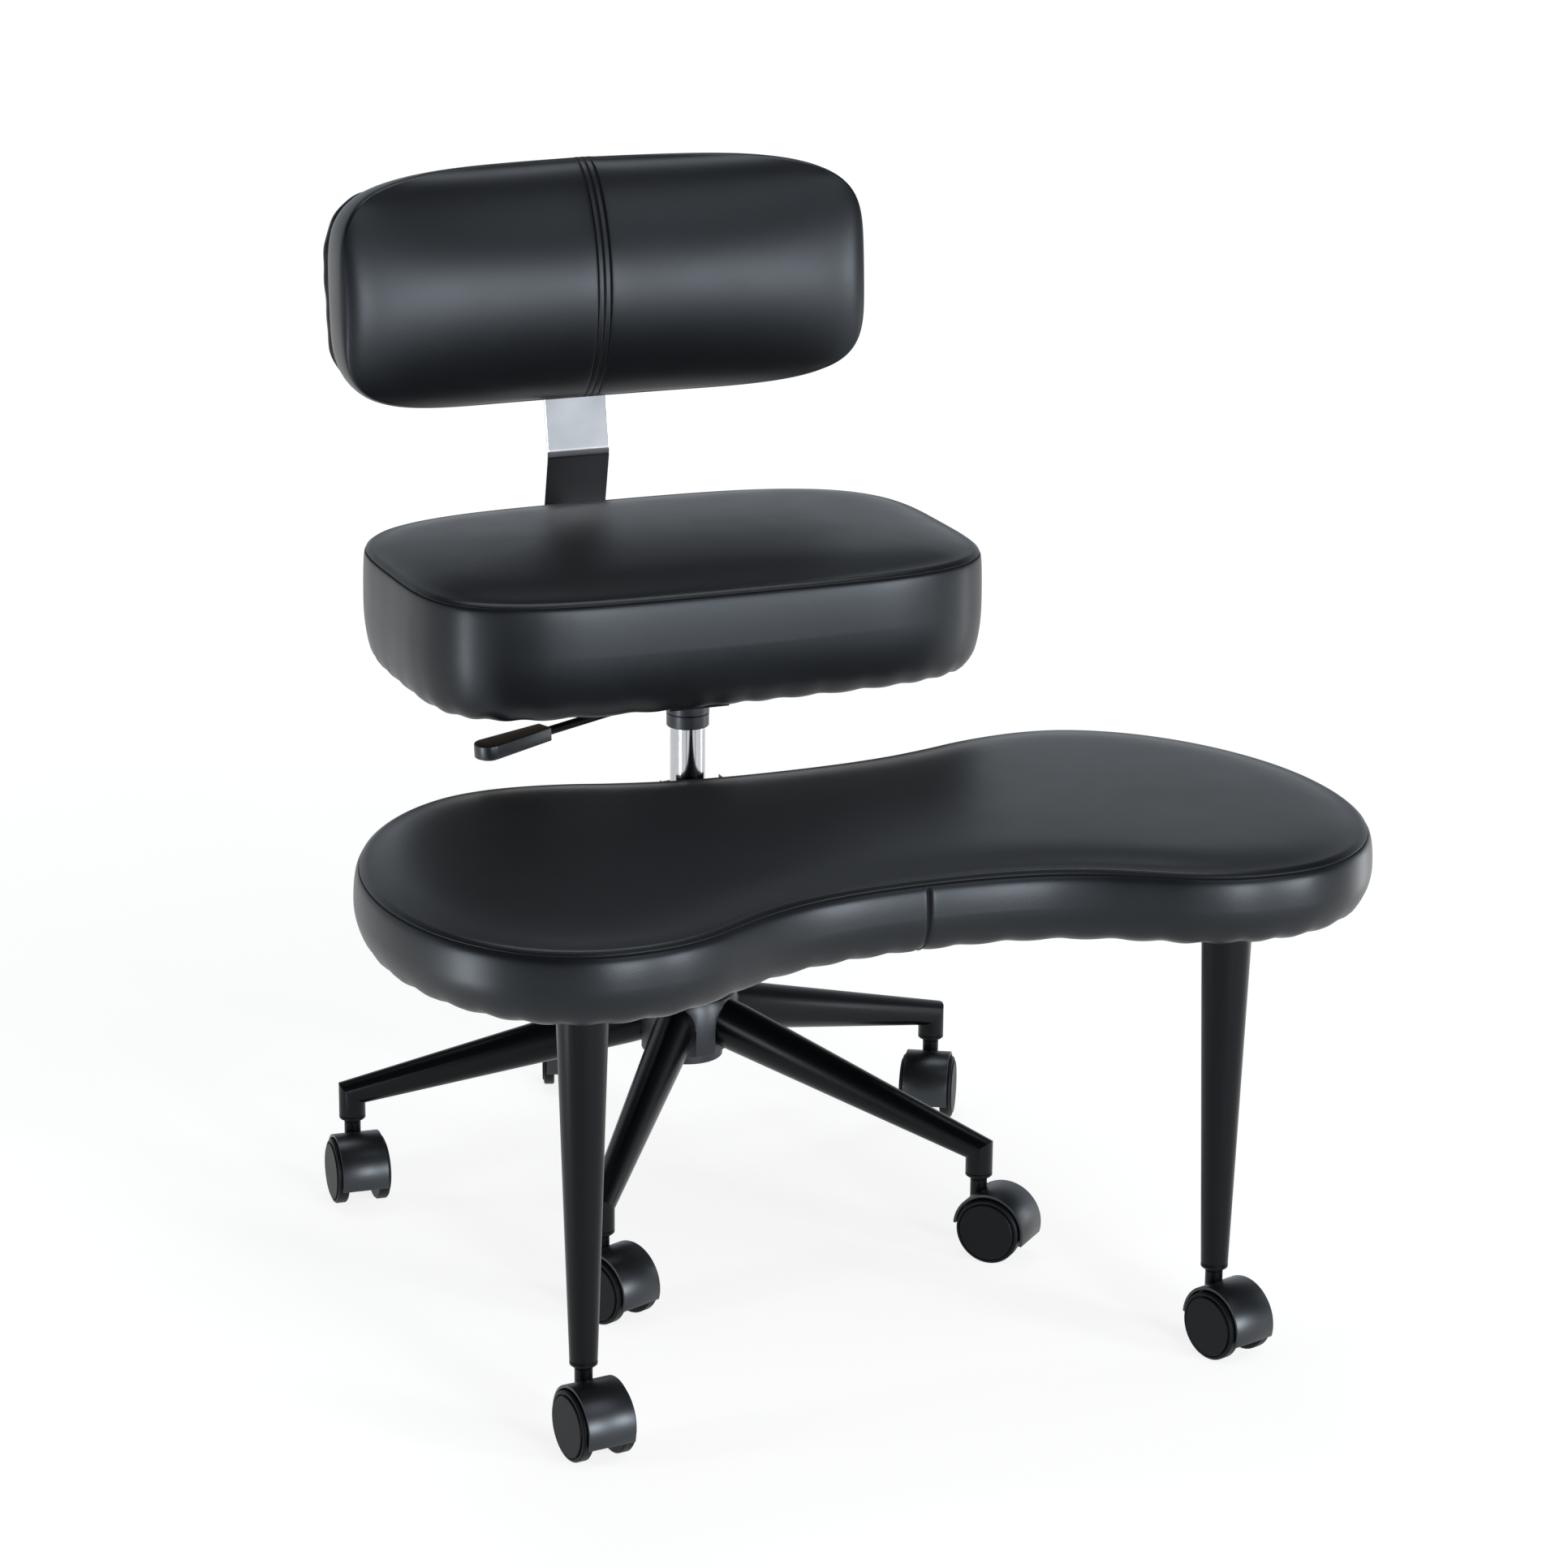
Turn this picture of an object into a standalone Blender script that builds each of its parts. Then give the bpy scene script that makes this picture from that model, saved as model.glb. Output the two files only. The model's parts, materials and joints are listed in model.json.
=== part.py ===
"""Cross-legged office chair.

A padded seat and a short lumbar back stand on a gas lift and a five-arm caster base.
A wide kidney-shaped platform in front of the seat stands on two legs with casters of
their own, and turns round the gas lift's column on a ring.
"""
from math import atan2, cos, hypot, pi, radians, sin, tan, tau

import bmesh
import bpy
from mathutils import Matrix, Vector

# Driving dimensions in metres, angles in degrees.
# The column stands at x = y = 0 while the chair is built, the sitter faces -Y
# and the floor is z = 0. "Left" is the sitter's left, which is +X.

GAP = 0.0003                    # clearance between pieces that touch
RUNNING_GAP = 0.0005            # clearance round a piece that turns or slides

# Twin-wheel casters
WHEEL_RADIUS = 0.026
WHEEL_WIDTH = 0.0100
WHEEL_FACETS = 16
TREAD_CHAMFER = 0.0009
RIM_WIDTH = 0.0030              # ring round the raised outer disc of a wheel
RIM_STEP = 0.0008
AXLE_RADIUS = 0.0030
AXLE_GRIP = 0.0065              # how far the axle reaches into each wheel
HOOD_WALL = 0.0023
HOOD_WIDTH = 0.037
HOOD_FRONT_ANGLE = 4.0          # where the shell ends on the neck's side, above the axle
HOOD_REAR_ANGLE = 210.0         # where it ends on the trailing side
HOOD_ARC_STEPS = 12
WHEEL_CLEARANCE = 0.0010        # hood shell to wheel
WEB_WIDTH = 0.0238              # solid middle of the hood, between the wheels
WEB_HUB_RADIUS = 0.0085         # web left round the axle
CASTER_TRAIL = 0.0165
NECK_RADIUS = 0.0066
NECK_SHOW = 0.0082              # neck that shows between hood top and socket
NECK_RING = 0.0016              # thin ring at the neck's top
NECK_DEPTH = 0.022              # neck sunk in the hood, below its top
STEM_PIN_RADIUS = 0.0055
STEM_PIN_LENGTH = 0.022

# Five-arm base
BASE_TURN = 91.0                # direction of the rear arm, from +X
ARM_REACH = 0.2707              # column axis to caster stem
ARM_RISE = 0.0600               # arm axis, from the mitre up to the hub's face
ARM_ROOT_WIDTH = 0.0336         # the tube is oval at the hub and round at the mitre
ARM_ROOT_HEIGHT = 0.0400
ARM_STUB = 0.014                # straight length inside the hub
SOCKET_RADIUS = 0.01065
SOCKET_LENGTH = 0.0215          # from the mitre's centre down to the socket's mouth
EDGE_BREAK = 0.0008
HUB_RADIUS = 0.0415
HUB_BELOW = 0.0323              # hub below the arm axis at its face
HUB_ABOVE = 0.024
HUB_CORE_RADIUS = 0.0335        # hub under the arms, between its webs
HUB_RIM_STEP = 0.0045
HUB_RIM_HEIGHT = 0.009
HUB_WEB_CHAMFER = 0.004
HUB_SHOULDER = 0.007            # rounded top edge
ARM_SEAT_RADIUS = 0.0345        # depth of the arm sockets, from the column axis
ARM_RING_GAP = 0.0008           # dark ring between an arm and its socket

# Gas lift
COLUMN_RADIUS = 0.025
COLUMN_WALL = 0.002
COLUMN_FLOOR = 0.003            # closed lower end of the tube
COLUMN_BELOW_PLATFORM = 0.007   # tube's top below the platform's underside
BUSH_LENGTH = 0.030
BUSH_FLANGE = 0.0022
CYLINDER_RADIUS = 0.014
LIFT_STROKE = 0.090             # how far the seat rises from its lowest place
GUIDE_OVERLAP = 0.010           # cylinder left below the bush at full lift
ROD_RADIUS = 0.005
ROD_FLANGE = 0.003
BEARING_HEIGHT = 0.005
BEARING_RADIUS = 0.012
VALVE_RADIUS = 0.004
VALVE_SHOW = 0.0057             # pin above the cylinder's head
VALVE_LENGTH = 0.012

# Platform
PLATFORM_BOTTOM = 0.348
PLATFORM_BAND = 0.053           # from the underside up to the seam
PLATFORM_CROWN = 0.0085
PLATFORM_HALF_WIDTH = 0.380
PLATFORM_SIDE = 0.370           # widest place, in front of the column
LOBE_FRONT = 0.545              # front of each knee lobe
LOBE_FRONT_X = 0.248
WAIST_FRONT = 0.477
LOBE_REAR = 0.148
LOBE_REAR_X = 0.218
WAIST_REAR = 0.180
LEG_SIDE_INSET = 0.1286         # leg's axis in from the platform's side
LEG_FORWARD = 0.0786            # leg's axis before the platform's widest place
LEG_TOP_RADIUS = 0.0190
LEG_FOOT_RADIUS = 0.01025
LEG_FOOT_RIM = 0.0035           # dark rim at the foot
LEG_FLANGE_RADIUS = 0.034
LEG_FLANGE = 0.004
RING_WALL = 0.0075
RING_HEIGHT = 0.034
RING_BELOW_COLUMN_TOP = 0.006
BRACKET_BAR_WIDTH = 0.050
BRACKET_BAR_HEIGHT = 0.022
BRACKET_BAR_REACH = 0.340       # how far forward the bar runs under the board

# Upholstery
BOARD = 0.012                   # plywood under each pad
BOARD_INSET = 0.026
UNDERSIDE_INSET = 0.010         # sides drawn in at the underside
SEAM_DEPTH = 0.0016
WELT = 0.0045                   # strip between the seam and the top panel

# Seat
SEAT_GAP = 0.0255               # seat's underside above the platform's crown
SEAT_BAND = 0.090
SEAT_CROWN = 0.012
SEAT_WIDTH = 0.474
SEAT_DEPTH = 0.318
SEAT_SETBACK = 0.044            # seat's centre behind the column
SEAT_FRONT_SQUARENESS = 4.2
SEAT_REAR_SQUARENESS = 3.2
PLATE = 0.003                   # sheet of the seat plate and its channel
PLATE_WIDTH = 0.180
PLATE_DEPTH = 0.150
CHANNEL_WIDTH = 0.050
CHANNEL_FRONT = 0.026           # channel's front end, before the column
CHANNEL_HEIGHT = 0.0215
COLLAR_RADIUS = 0.0167
COLLAR_BELOW = 0.0200           # socket below the channel
COLLAR_ABOVE = 0.0005           # socket inside the channel

# Release lever
LEVER_ANGLE = 21.0              # forward of straight sideways
LEVER_DROOP = 1.6
LEVER_LIFT = 3.0                # how far the lever turns to press the valve pin
LEVER_FORWARD = 0.0183          # pivot in the channel's wall, in front of the column
LEVER_ROD_RADIUS = 0.0035
LEVER_SHOW = 0.125              # from the pivot to the grip
LEVER_SLOT = 0.0012             # room round the rod in the channel's wall
GRIP_LENGTH = 0.068
GRIP_NECK = 0.015               # grip's width at the rod
GRIP_END = 0.023                # and near its tip
GRIP_HEIGHT = 0.0110
GRIP_PAD = 0.0015               # finger pad under the tip
GRIP_BORE = 0.024
GRIP_EDGE = 0.0012

# Back
BACK_RISE = 0.276               # back's middle above the seat's underside
BACK_WIDTH = 0.453
BACK_HEIGHT = 0.195
BACK_SQUARENESS = 4.0
BACK_FRONT = 0.170              # front of the pad's crown, behind the column
BACK_CROWN = 0.042
BACK_END_CROWN = 0.016          # the crown at the pad's two ends
BACK_DEPTH = 0.068              # whole pad, from its front to the cover
BACK_DRAWN_IN = 0.011
BACK_LEAN = 3.8
BACK_SEAM_WIDTH = 0.013         # sewn channel down the middle
BACK_SEAM_DEPTH = 0.0020
COVER = 0.030
COVER_INSET = 0.009
STRIP_WIDTH = 0.055
STRIP = 0.006
STRIP_LOW_LEAN = 12.0           # forward, from the seat up to the bend
STRIP_HIGH_LEAN = 10.0          # backward, from the bend up to the cover
STRIP_BEND_RISE = 0.121         # bend above the seat's underside
STRIP_TOP_RISE = 0.305
STRIP_COVER_RISE = 0.177        # where it starts to lie along the cover
STRIP_ROOT = 0.084              # front end under the seat, behind the column
STRIP_BEND_RADIUS = 0.020

# How the casters stand: direction of each axle, from +X
ARM_CASTER_TURNS = (-20.0, -4.0, 23.0, 42.0, -30.0)
LEG_CASTER_TURNS = (17.0, 7.0)

# Values that follow from the driving dimensions

WHEEL_CORNER = WHEEL_RADIUS / cos(pi / WHEEL_FACETS)
WHEEL_INNER = WEB_WIDTH / 2 + RUNNING_GAP
HOOD_RADIUS = WHEEL_CORNER + WHEEL_CLEARANCE + HOOD_WALL
CASTER_HEIGHT = WHEEL_RADIUS + HOOD_RADIUS + NECK_SHOW

ARM_COUNT = len(ARM_CASTER_TURNS)
MITRE_Z = CASTER_HEIGHT + SOCKET_LENGTH
ARM_ROOT_Z = MITRE_Z + ARM_RISE
ARM_SLOPE = atan2(ARM_RISE, ARM_REACH - HUB_RADIUS)
HUB_BOTTOM = ARM_ROOT_Z - HUB_BELOW
HUB_TOP = ARM_ROOT_Z + HUB_ABOVE
HUB_BORE = COLUMN_RADIUS + GAP
HUB_LIP = 0.4 * HUB_RIM_HEIGHT

PLATFORM_TOP = PLATFORM_BOTTOM + PLATFORM_BAND + PLATFORM_CROWN
LEG_X = PLATFORM_HALF_WIDTH - LEG_SIDE_INSET
LEG_Y = PLATFORM_SIDE + LEG_FORWARD
SEAT_BOTTOM = PLATFORM_TOP + SEAT_GAP
SEAT_UNDER = SEAT_BOTTOM - GAP
CHANNEL_BOTTOM = SEAT_UNDER - PLATE - CHANNEL_HEIGHT
COLLAR_BOTTOM = CHANNEL_BOTTOM - COLLAR_BELOW
COLLAR_TOP = CHANNEL_BOTTOM + PLATE + COLLAR_ABOVE
CYLINDER_TOP = COLLAR_TOP - EDGE_BREAK

TUBE_BOTTOM = HUB_BOTTOM + HUB_LIP + GAP
TUBE_TOP = PLATFORM_BOTTOM - COLUMN_BELOW_PLATFORM
TUBE_FLOOR = TUBE_BOTTOM + COLUMN_FLOOR
CYLINDER_BOTTOM = TUBE_TOP - BUSH_LENGTH - LIFT_STROKE - GUIDE_OVERLAP
VALVE_TRAVEL = 2 * hypot(CHANNEL_WIDTH / 2, LEVER_FORWARD) * sin(radians(LEVER_LIFT))
ROD_TOP = CYLINDER_TOP - VALVE_LENGTH - 3 * VALVE_TRAVEL
RING_TOP = TUBE_TOP - RING_BELOW_COLUMN_TOP

LEVER_PIVOT = Vector((-CHANNEL_WIDTH / 2, -LEVER_FORWARD,
                      CYLINDER_TOP + VALVE_SHOW + GAP + LEVER_ROD_RADIUS))
LEVER_OUT = Vector((-cos(radians(LEVER_ANGLE)), -sin(radians(LEVER_ANGLE)),
                    -tan(radians(LEVER_DROOP))))

BACK_Z = SEAT_BOTTOM + BACK_RISE
COVER_REAR = BACK_DEPTH + GAP + COVER


# Scene helpers

MATERIALS = {
    "leather": ((0.022, 0.023, 0.025), 0.42, 0.0),
    "tube": ((0.012, 0.012, 0.013), 0.28, 0.6),
    "moulding": ((0.018, 0.018, 0.020), 0.45, 0.0),
    "chrome": ((0.80, 0.80, 0.82), 0.08, 1.0),
    "strip": ((0.010, 0.010, 0.011), 0.12, 0.5),
    "bare_steel": ((0.45, 0.45, 0.46), 0.35, 1.0),
    "guide": ((0.06, 0.06, 0.065), 0.55, 0.0),
    "plywood": ((0.42, 0.30, 0.18), 0.70, 0.0),
}


def material_for(name, finish):
    colour, roughness, metallic = MATERIALS[finish]
    material = bpy.data.materials.new(name)
    material.use_nodes = True
    shader = material.node_tree.nodes["Principled BSDF"]
    shader.inputs["Base Color"].default_value = (*colour, 1.0)
    shader.inputs["Roughness"].default_value = roughness
    shader.inputs["Metallic"].default_value = metallic
    return material


def finished(bm, name, smooth_angle=35.0):
    """Turn a bmesh into a mesh with outward faces and smooth round sides."""
    bmesh.ops.remove_doubles(bm, verts=bm.verts, dist=1e-6)
    bmesh.ops.recalc_face_normals(bm, faces=bm.faces)
    mesh = bpy.data.meshes.new(name)
    bm.to_mesh(mesh)
    bm.free()
    mesh.shade_smooth()
    mesh.set_sharp_from_angle(angle=radians(smooth_angle))
    return mesh


def place(name, mesh, finish, parent, at=(0.0, 0.0, 0.0), turn=(0.0, 0.0, 0.0)):
    obj = bpy.data.objects.new(name, mesh)
    obj.parent = parent
    obj.location = at
    obj.rotation_euler = turn
    obj.data.materials.clear()
    obj.data.materials.append(None)
    obj.material_slots[0].link = 'OBJECT'
    obj.material_slots[0].material = material_for(name, finish)
    bpy.context.scene.collection.objects.link(obj)
    return obj


def joint(name, parent=None, at=(0.0, 0.0, 0.0), turn=(0.0, 0.0, 0.0)):
    """An empty on a joint's axis, which carries the pieces that move together."""
    empty = bpy.data.objects.new(name, None)
    empty.parent = parent
    empty.location = at
    empty.rotation_euler = turn
    empty.empty_display_size = 0.03
    bpy.context.scene.collection.objects.link(empty)
    return empty


def cut(mesh, *cutters):
    """Subtract the cutter meshes and give back the result as a new mesh."""
    return combined(mesh, 'DIFFERENCE', cutters)


def fuse(mesh, *others):
    return combined(mesh, 'UNION', others)


def combined(mesh, operation, others):
    body = bpy.data.objects.new(mesh.name, mesh)
    bpy.context.scene.collection.objects.link(body)
    tools = []
    for other in others:
        tool = bpy.data.objects.new(other.name, other)
        bpy.context.scene.collection.objects.link(tool)
        boolean = body.modifiers.new("boolean", 'BOOLEAN')
        boolean.operation = operation
        boolean.solver = 'EXACT'
        boolean.object = tool
        tools.append(tool)
    graph = bpy.context.evaluated_depsgraph_get()
    result = bpy.data.meshes.new_from_object(body.evaluated_get(graph))
    for obj in (body, *tools):
        bpy.data.objects.remove(obj)
    bm = bmesh.new()
    bm.from_mesh(result)
    bmesh.ops.dissolve_limit(bm, angle_limit=radians(0.5), verts=bm.verts, edges=bm.edges)
    return finished(bm, mesh.name)


# Shape helpers

def turned(name, profile, facets, ring=False):
    """Spin a profile of (radius, height) points round Z. A ring's profile is a closed loop."""
    bm = bmesh.new()
    points = [bm.verts.new((radius, 0.0, height)) for radius, height in profile]
    edges = [bm.edges.new(pair) for pair in zip(points, points[1:])]
    if ring:
        edges.append(bm.edges.new((points[-1], points[0])))
    bmesh.ops.spin(bm, geom=points + edges, cent=(0, 0, 0), axis=(0, 0, 1),
                   angle=tau, steps=facets, use_merge=True)
    return finished(bm, name)


def rod(name, radius, start, end, facets):
    """A plain round bar between two points."""
    start, end = Vector(start), Vector(end)
    bm = bmesh.new()
    bmesh.ops.create_cone(bm, cap_ends=True, segments=facets, radius1=radius, radius2=radius,
                          depth=(end - start).length)
    turn = (end - start).to_track_quat('Z', 'Y').to_matrix().to_4x4()
    bmesh.ops.transform(bm, matrix=Matrix.Translation((start + end) / 2) @ turn, verts=bm.verts)
    return finished(bm, name)


def block(name, low, high):
    """A box between two corners."""
    low, high = Vector(low), Vector(high)
    bm = bmesh.new()
    bmesh.ops.create_cube(bm, size=1.0)
    scale = Matrix.Diagonal((*(high - low), 1.0))
    bmesh.ops.transform(bm, matrix=Matrix.Translation((low + high) / 2) @ scale, verts=bm.verts)
    return finished(bm, name)


def loft(name, rings, smooth_angle=35.0):
    """Skin a row of rings that have equal counts of points, and cap both ends."""
    bm = bmesh.new()
    loops = [[bm.verts.new(point) for point in ring] for ring in rings]
    count = len(rings[0])
    for lower, upper in zip(loops, loops[1:]):
        for i in range(count):
            j = (i + 1) % count
            bm.faces.new((lower[i], lower[j], upper[j], upper[i]))
    bm.faces.new(loops[0])
    bm.faces.new(loops[-1])
    return finished(bm, name, smooth_angle)


def prism(name, outline, depth):
    """Extrude a flat outline along its normal, half of the depth to each side."""
    bm = bmesh.new()
    face = bm.faces.new([bm.verts.new(point) for point in outline])
    face.normal_update()
    normal = face.normal.copy()
    bmesh.ops.translate(bm, vec=-normal * depth / 2, verts=bm.verts)
    grown = bmesh.ops.extrude_face_region(bm, geom=[face])
    top = [item for item in grown["geom"] if isinstance(item, bmesh.types.BMVert)]
    bmesh.ops.translate(bm, vec=normal * depth, verts=top)
    return finished(bm, name)


def evenly(points, count):
    """Points at equal steps along a closed outline."""
    loop = list(points) + [points[0]]
    reach = [0.0]
    for a, b in zip(loop, loop[1:]):
        reach.append(reach[-1] + hypot(b[0] - a[0], b[1] - a[1]))
    even, leg = [], 0
    for k in range(count):
        goal = reach[-1] * k / count
        while reach[leg + 1] < goal:
            leg += 1
        share = (goal - reach[leg]) / (reach[leg + 1] - reach[leg])
        a, b = loop[leg], loop[leg + 1]
        even.append((a[0] + share * (b[0] - a[0]), a[1] + share * (b[1] - a[1])))
    return even


def drawn_in(outline, inset):
    """Move each point of an anticlockwise outline inwards, square to its edge."""
    moved = []
    count = len(outline)
    for i, (x, y) in enumerate(outline):
        (xa, ya), (xb, yb) = outline[i - 1], outline[(i + 1) % count]
        run, rise = xb - xa, yb - ya
        length = hypot(run, rise)
        moved.append((x - inset * rise / length, y + inset * run / length))
    return moved


def bezier(a, b, c, d, count=24):
    for k in range(count):
        t = k / count
        s = 1.0 - t
        yield tuple(s**3 * p + 3 * s * s * t * q + 3 * s * t * t * r + t**3 * v
                    for p, q, r, v in zip(a, b, c, d))


def superellipse(half_width, half_height, low_squareness, high_squareness, count):
    """Rounded-rectangle outline, with corners of its own below and above the middle."""
    points = []
    for k in range(count * 8):
        angle = tau * k / (count * 8)
        across, along = cos(angle), sin(angle)
        squareness = low_squareness if along < 0 else high_squareness
        size = (abs(across) ** squareness + abs(along) ** squareness) ** (-1.0 / squareness)
        points.append((half_width * across * size, half_height * along * size))
    return evenly(points, count)


# Casters: all pieces are drawn with the swivel axis at x = y = 0 and the axle along X

def wheel_mesh():
    """Half of a twin wheel, closed on its outer side, with a blind bore for the axle."""
    inner, outer = WHEEL_INNER, WHEEL_INNER + WHEEL_WIDTH
    bore = AXLE_RADIUS + RUNNING_GAP
    bore_end = WHEEL_INNER + AXLE_GRIP + GAP
    disc = WHEEL_CORNER - RIM_WIDTH
    profile = ((0.0, bore_end), (bore, bore_end), (bore, inner),
               (WHEEL_CORNER - TREAD_CHAMFER, inner), (WHEEL_CORNER, inner + TREAD_CHAMFER),
               (WHEEL_CORNER, outer - RIM_STEP - TREAD_CHAMFER),
               (WHEEL_CORNER - TREAD_CHAMFER, outer - RIM_STEP),
               (disc + RIM_STEP, outer - RIM_STEP), (disc, outer), (0.0, outer))
    mesh = turned("wheel", profile, WHEEL_FACETS)
    flat_down = Matrix.Rotation(pi / WHEEL_FACETS, 4, 'Z')
    mesh.transform(Matrix.Rotation(pi / 2, 4, 'Y') @ flat_down)
    return mesh


def hood_arc(radius):
    """Points of the hood's shell in the wheel's plane, from the neck's side over the top."""
    start, end = radians(HOOD_FRONT_ANGLE), radians(HOOD_REAR_ANGLE)
    for k in range(HOOD_ARC_STEPS + 1):
        angle = start + (end - start) * k / HOOD_ARC_STEPS
        yield (0.0, -CASTER_TRAIL + radius * cos(angle), WHEEL_RADIUS + radius * sin(angle))


def hood_mesh():
    """Shell over the wheels with a solid web between them, bored for the axle and neck."""
    bm = bmesh.new()
    outer = [bm.verts.new(point) for point in hood_arc(HOOD_RADIUS)]
    inner = [bm.verts.new(point) for point in hood_arc(HOOD_RADIUS - HOOD_WALL)]
    shell = [bm.faces.new((outer[k], outer[k + 1], inner[k + 1], inner[k]))
             for k in range(HOOD_ARC_STEPS)]
    low = [bm.verts.new((0.0, -CASTER_TRAIL + WEB_HUB_RADIUS * cos(angle),
                         WHEEL_RADIUS + WEB_HUB_RADIUS * sin(angle)))
           for angle in (radians(240.0), radians(270.0), radians(300.0))]
    bm.faces.new(inner + low)
    bmesh.ops.translate(bm, vec=(-WEB_WIDTH / 2, 0, 0), verts=bm.verts)
    web = list(bm.faces)
    lip = (HOOD_WIDTH - WEB_WIDTH) / 2
    grown = bmesh.ops.extrude_face_region(bm, geom=web)
    far = [item for item in grown["geom"] if isinstance(item, bmesh.types.BMFace)]
    far_verts = [item for item in grown["geom"] if isinstance(item, bmesh.types.BMVert)]
    bmesh.ops.translate(bm, vec=(WEB_WIDTH, 0, 0), verts=far_verts)
    far_shell = [face for face in far if len(face.verts) == 4]
    for faces, way in ((shell, -lip), (far_shell, lip)):
        grown = bmesh.ops.extrude_face_region(bm, geom=faces)
        verts = [item for item in grown["geom"] if isinstance(item, bmesh.types.BMVert)]
        bmesh.ops.translate(bm, vec=(way, 0, 0), verts=verts)
        bmesh.ops.delete(bm, geom=faces, context='FACES')
    body = finished(bm, "hood")
    bore = rod("axle_bore", AXLE_RADIUS + GAP, (-HOOD_WIDTH, -CASTER_TRAIL, WHEEL_RADIUS),
               (HOOD_WIDTH, -CASTER_TRAIL, WHEEL_RADIUS), 12)
    hood_top = WHEEL_RADIUS + HOOD_RADIUS
    seat = rod("neck_seat", NECK_RADIUS + RUNNING_GAP, (0, 0, hood_top - NECK_DEPTH - GAP),
               (0, 0, hood_top + NECK_SHOW), 16)
    return cut(body, bore, seat)


def stem_mesh():
    """Pin for the socket, thin ring and neck, turned in one piece."""
    mouth = CASTER_HEIGHT - GAP
    ring = mouth - NECK_RING
    foot = WHEEL_RADIUS + HOOD_RADIUS - NECK_DEPTH
    profile = ((0.0, mouth + STEM_PIN_LENGTH), (STEM_PIN_RADIUS, mouth + STEM_PIN_LENGTH),
               (STEM_PIN_RADIUS, mouth), (NECK_RADIUS, mouth),
               (NECK_RADIUS - EDGE_BREAK, ring), (NECK_RADIUS, ring - EDGE_BREAK),
               (NECK_RADIUS, foot), (0.0, foot))
    return turned("stem", profile, 12)


def axle_mesh():
    reach = WHEEL_INNER + AXLE_GRIP
    return rod("axle", AXLE_RADIUS, (-reach, 0, 0), (reach, 0, 0), 12)


def build_casters(base, platform):
    wheel, hood, stem, axle = wheel_mesh(), hood_mesh(), stem_mesh(), axle_mesh()
    stands = []
    for k, turn in enumerate(ARM_CASTER_TURNS):
        angle = arm_angle(k)
        stands.append((base, (ARM_REACH * cos(angle), ARM_REACH * sin(angle), 0.0), turn))
    for side, turn in zip((1, -1), LEG_CASTER_TURNS):
        stands.append((platform, (side * LEG_X, -LEG_Y, 0.0), turn))
    axle_at = (0.0, -CASTER_TRAIL, WHEEL_RADIUS)
    for number, (carrier, foot, turn) in enumerate(stands, start=1):
        name = f"caster_{number}"
        place(f"{name}_stem", stem.copy(), "tube", carrier, at=foot)
        swivel = joint(f"{name}_swivel", carrier, at=foot, turn=(0, 0, radians(turn)))
        place(f"{name}_hood", hood.copy(), "moulding", swivel)
        place(f"{name}_axle", axle.copy(), "bare_steel", swivel, at=axle_at)
        place(f"{name}_wheel_left", wheel.copy(), "moulding", swivel, at=axle_at)
        place(f"{name}_wheel_right", wheel.copy(), "moulding", swivel, at=axle_at, turn=(0, 0, pi))


# Base

def arm_angle(k):
    return radians(BASE_TURN) + tau * k / ARM_COUNT


def arm_point(reach):
    """A point of the arm's axis at a distance from the column, in the arm's own plane."""
    return Vector((reach, 0.0, MITRE_Z + (ARM_REACH - reach) * tan(ARM_SLOPE)))


def arm_ring(reach, inset, facets=16):
    """Oval section of the tube at a distance from the column, drawn in by an inset."""
    upper = Vector((sin(ARM_SLOPE), 0.0, cos(ARM_SLOPE)))
    high, wide = ARM_ROOT_HEIGHT / 2 - inset, ARM_ROOT_WIDTH / 2 - inset
    return [arm_point(reach) + high * cos(a) * upper + Vector((0.0, wide * sin(a), 0.0))
            for a in (tau * k / facets for k in range(facets))]


def arm_mesh(facets=16):
    """Tapered tube that is mitred to an upright socket, with a bore for the caster's pin."""
    along = Vector((cos(ARM_SLOPE), 0.0, -sin(ARM_SLOPE)))
    across = Vector((0.0, 1.0, 0.0))
    outward = Vector((1.0, 0.0, 0.0))
    corner = arm_point(ARM_REACH)
    mitre = along + Vector((0.0, 0.0, -1.0))
    angles = [tau * k / facets for k in range(facets)]

    def upright_ring(height, radius):
        centre = Vector((ARM_REACH, 0.0, height))
        return [centre + radius * (cos(a) * outward + sin(a) * across) for a in angles]

    def mitre_ring():
        ring = []
        for point in upright_ring(corner.z, SOCKET_RADIUS):
            drop = (point - corner).dot(mitre) / mitre.z
            ring.append(point - Vector((0.0, 0.0, drop)))
        return ring

    root = ARM_SEAT_RADIUS + GAP
    bore = STEM_PIN_RADIUS + GAP
    mouth = CASTER_HEIGHT
    rings = [arm_ring(root, EDGE_BREAK, facets),
             arm_ring(root + EDGE_BREAK, 0.0, facets),
             arm_ring(root + ARM_STUB, 0.0, facets),
             mitre_ring(),
             upright_ring(mouth + EDGE_BREAK, SOCKET_RADIUS),
             upright_ring(mouth, SOCKET_RADIUS - EDGE_BREAK),
             upright_ring(mouth, bore),
             upright_ring(mouth + STEM_PIN_LENGTH + GAP, bore)]
    return loft("base_arm", rings)


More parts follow.
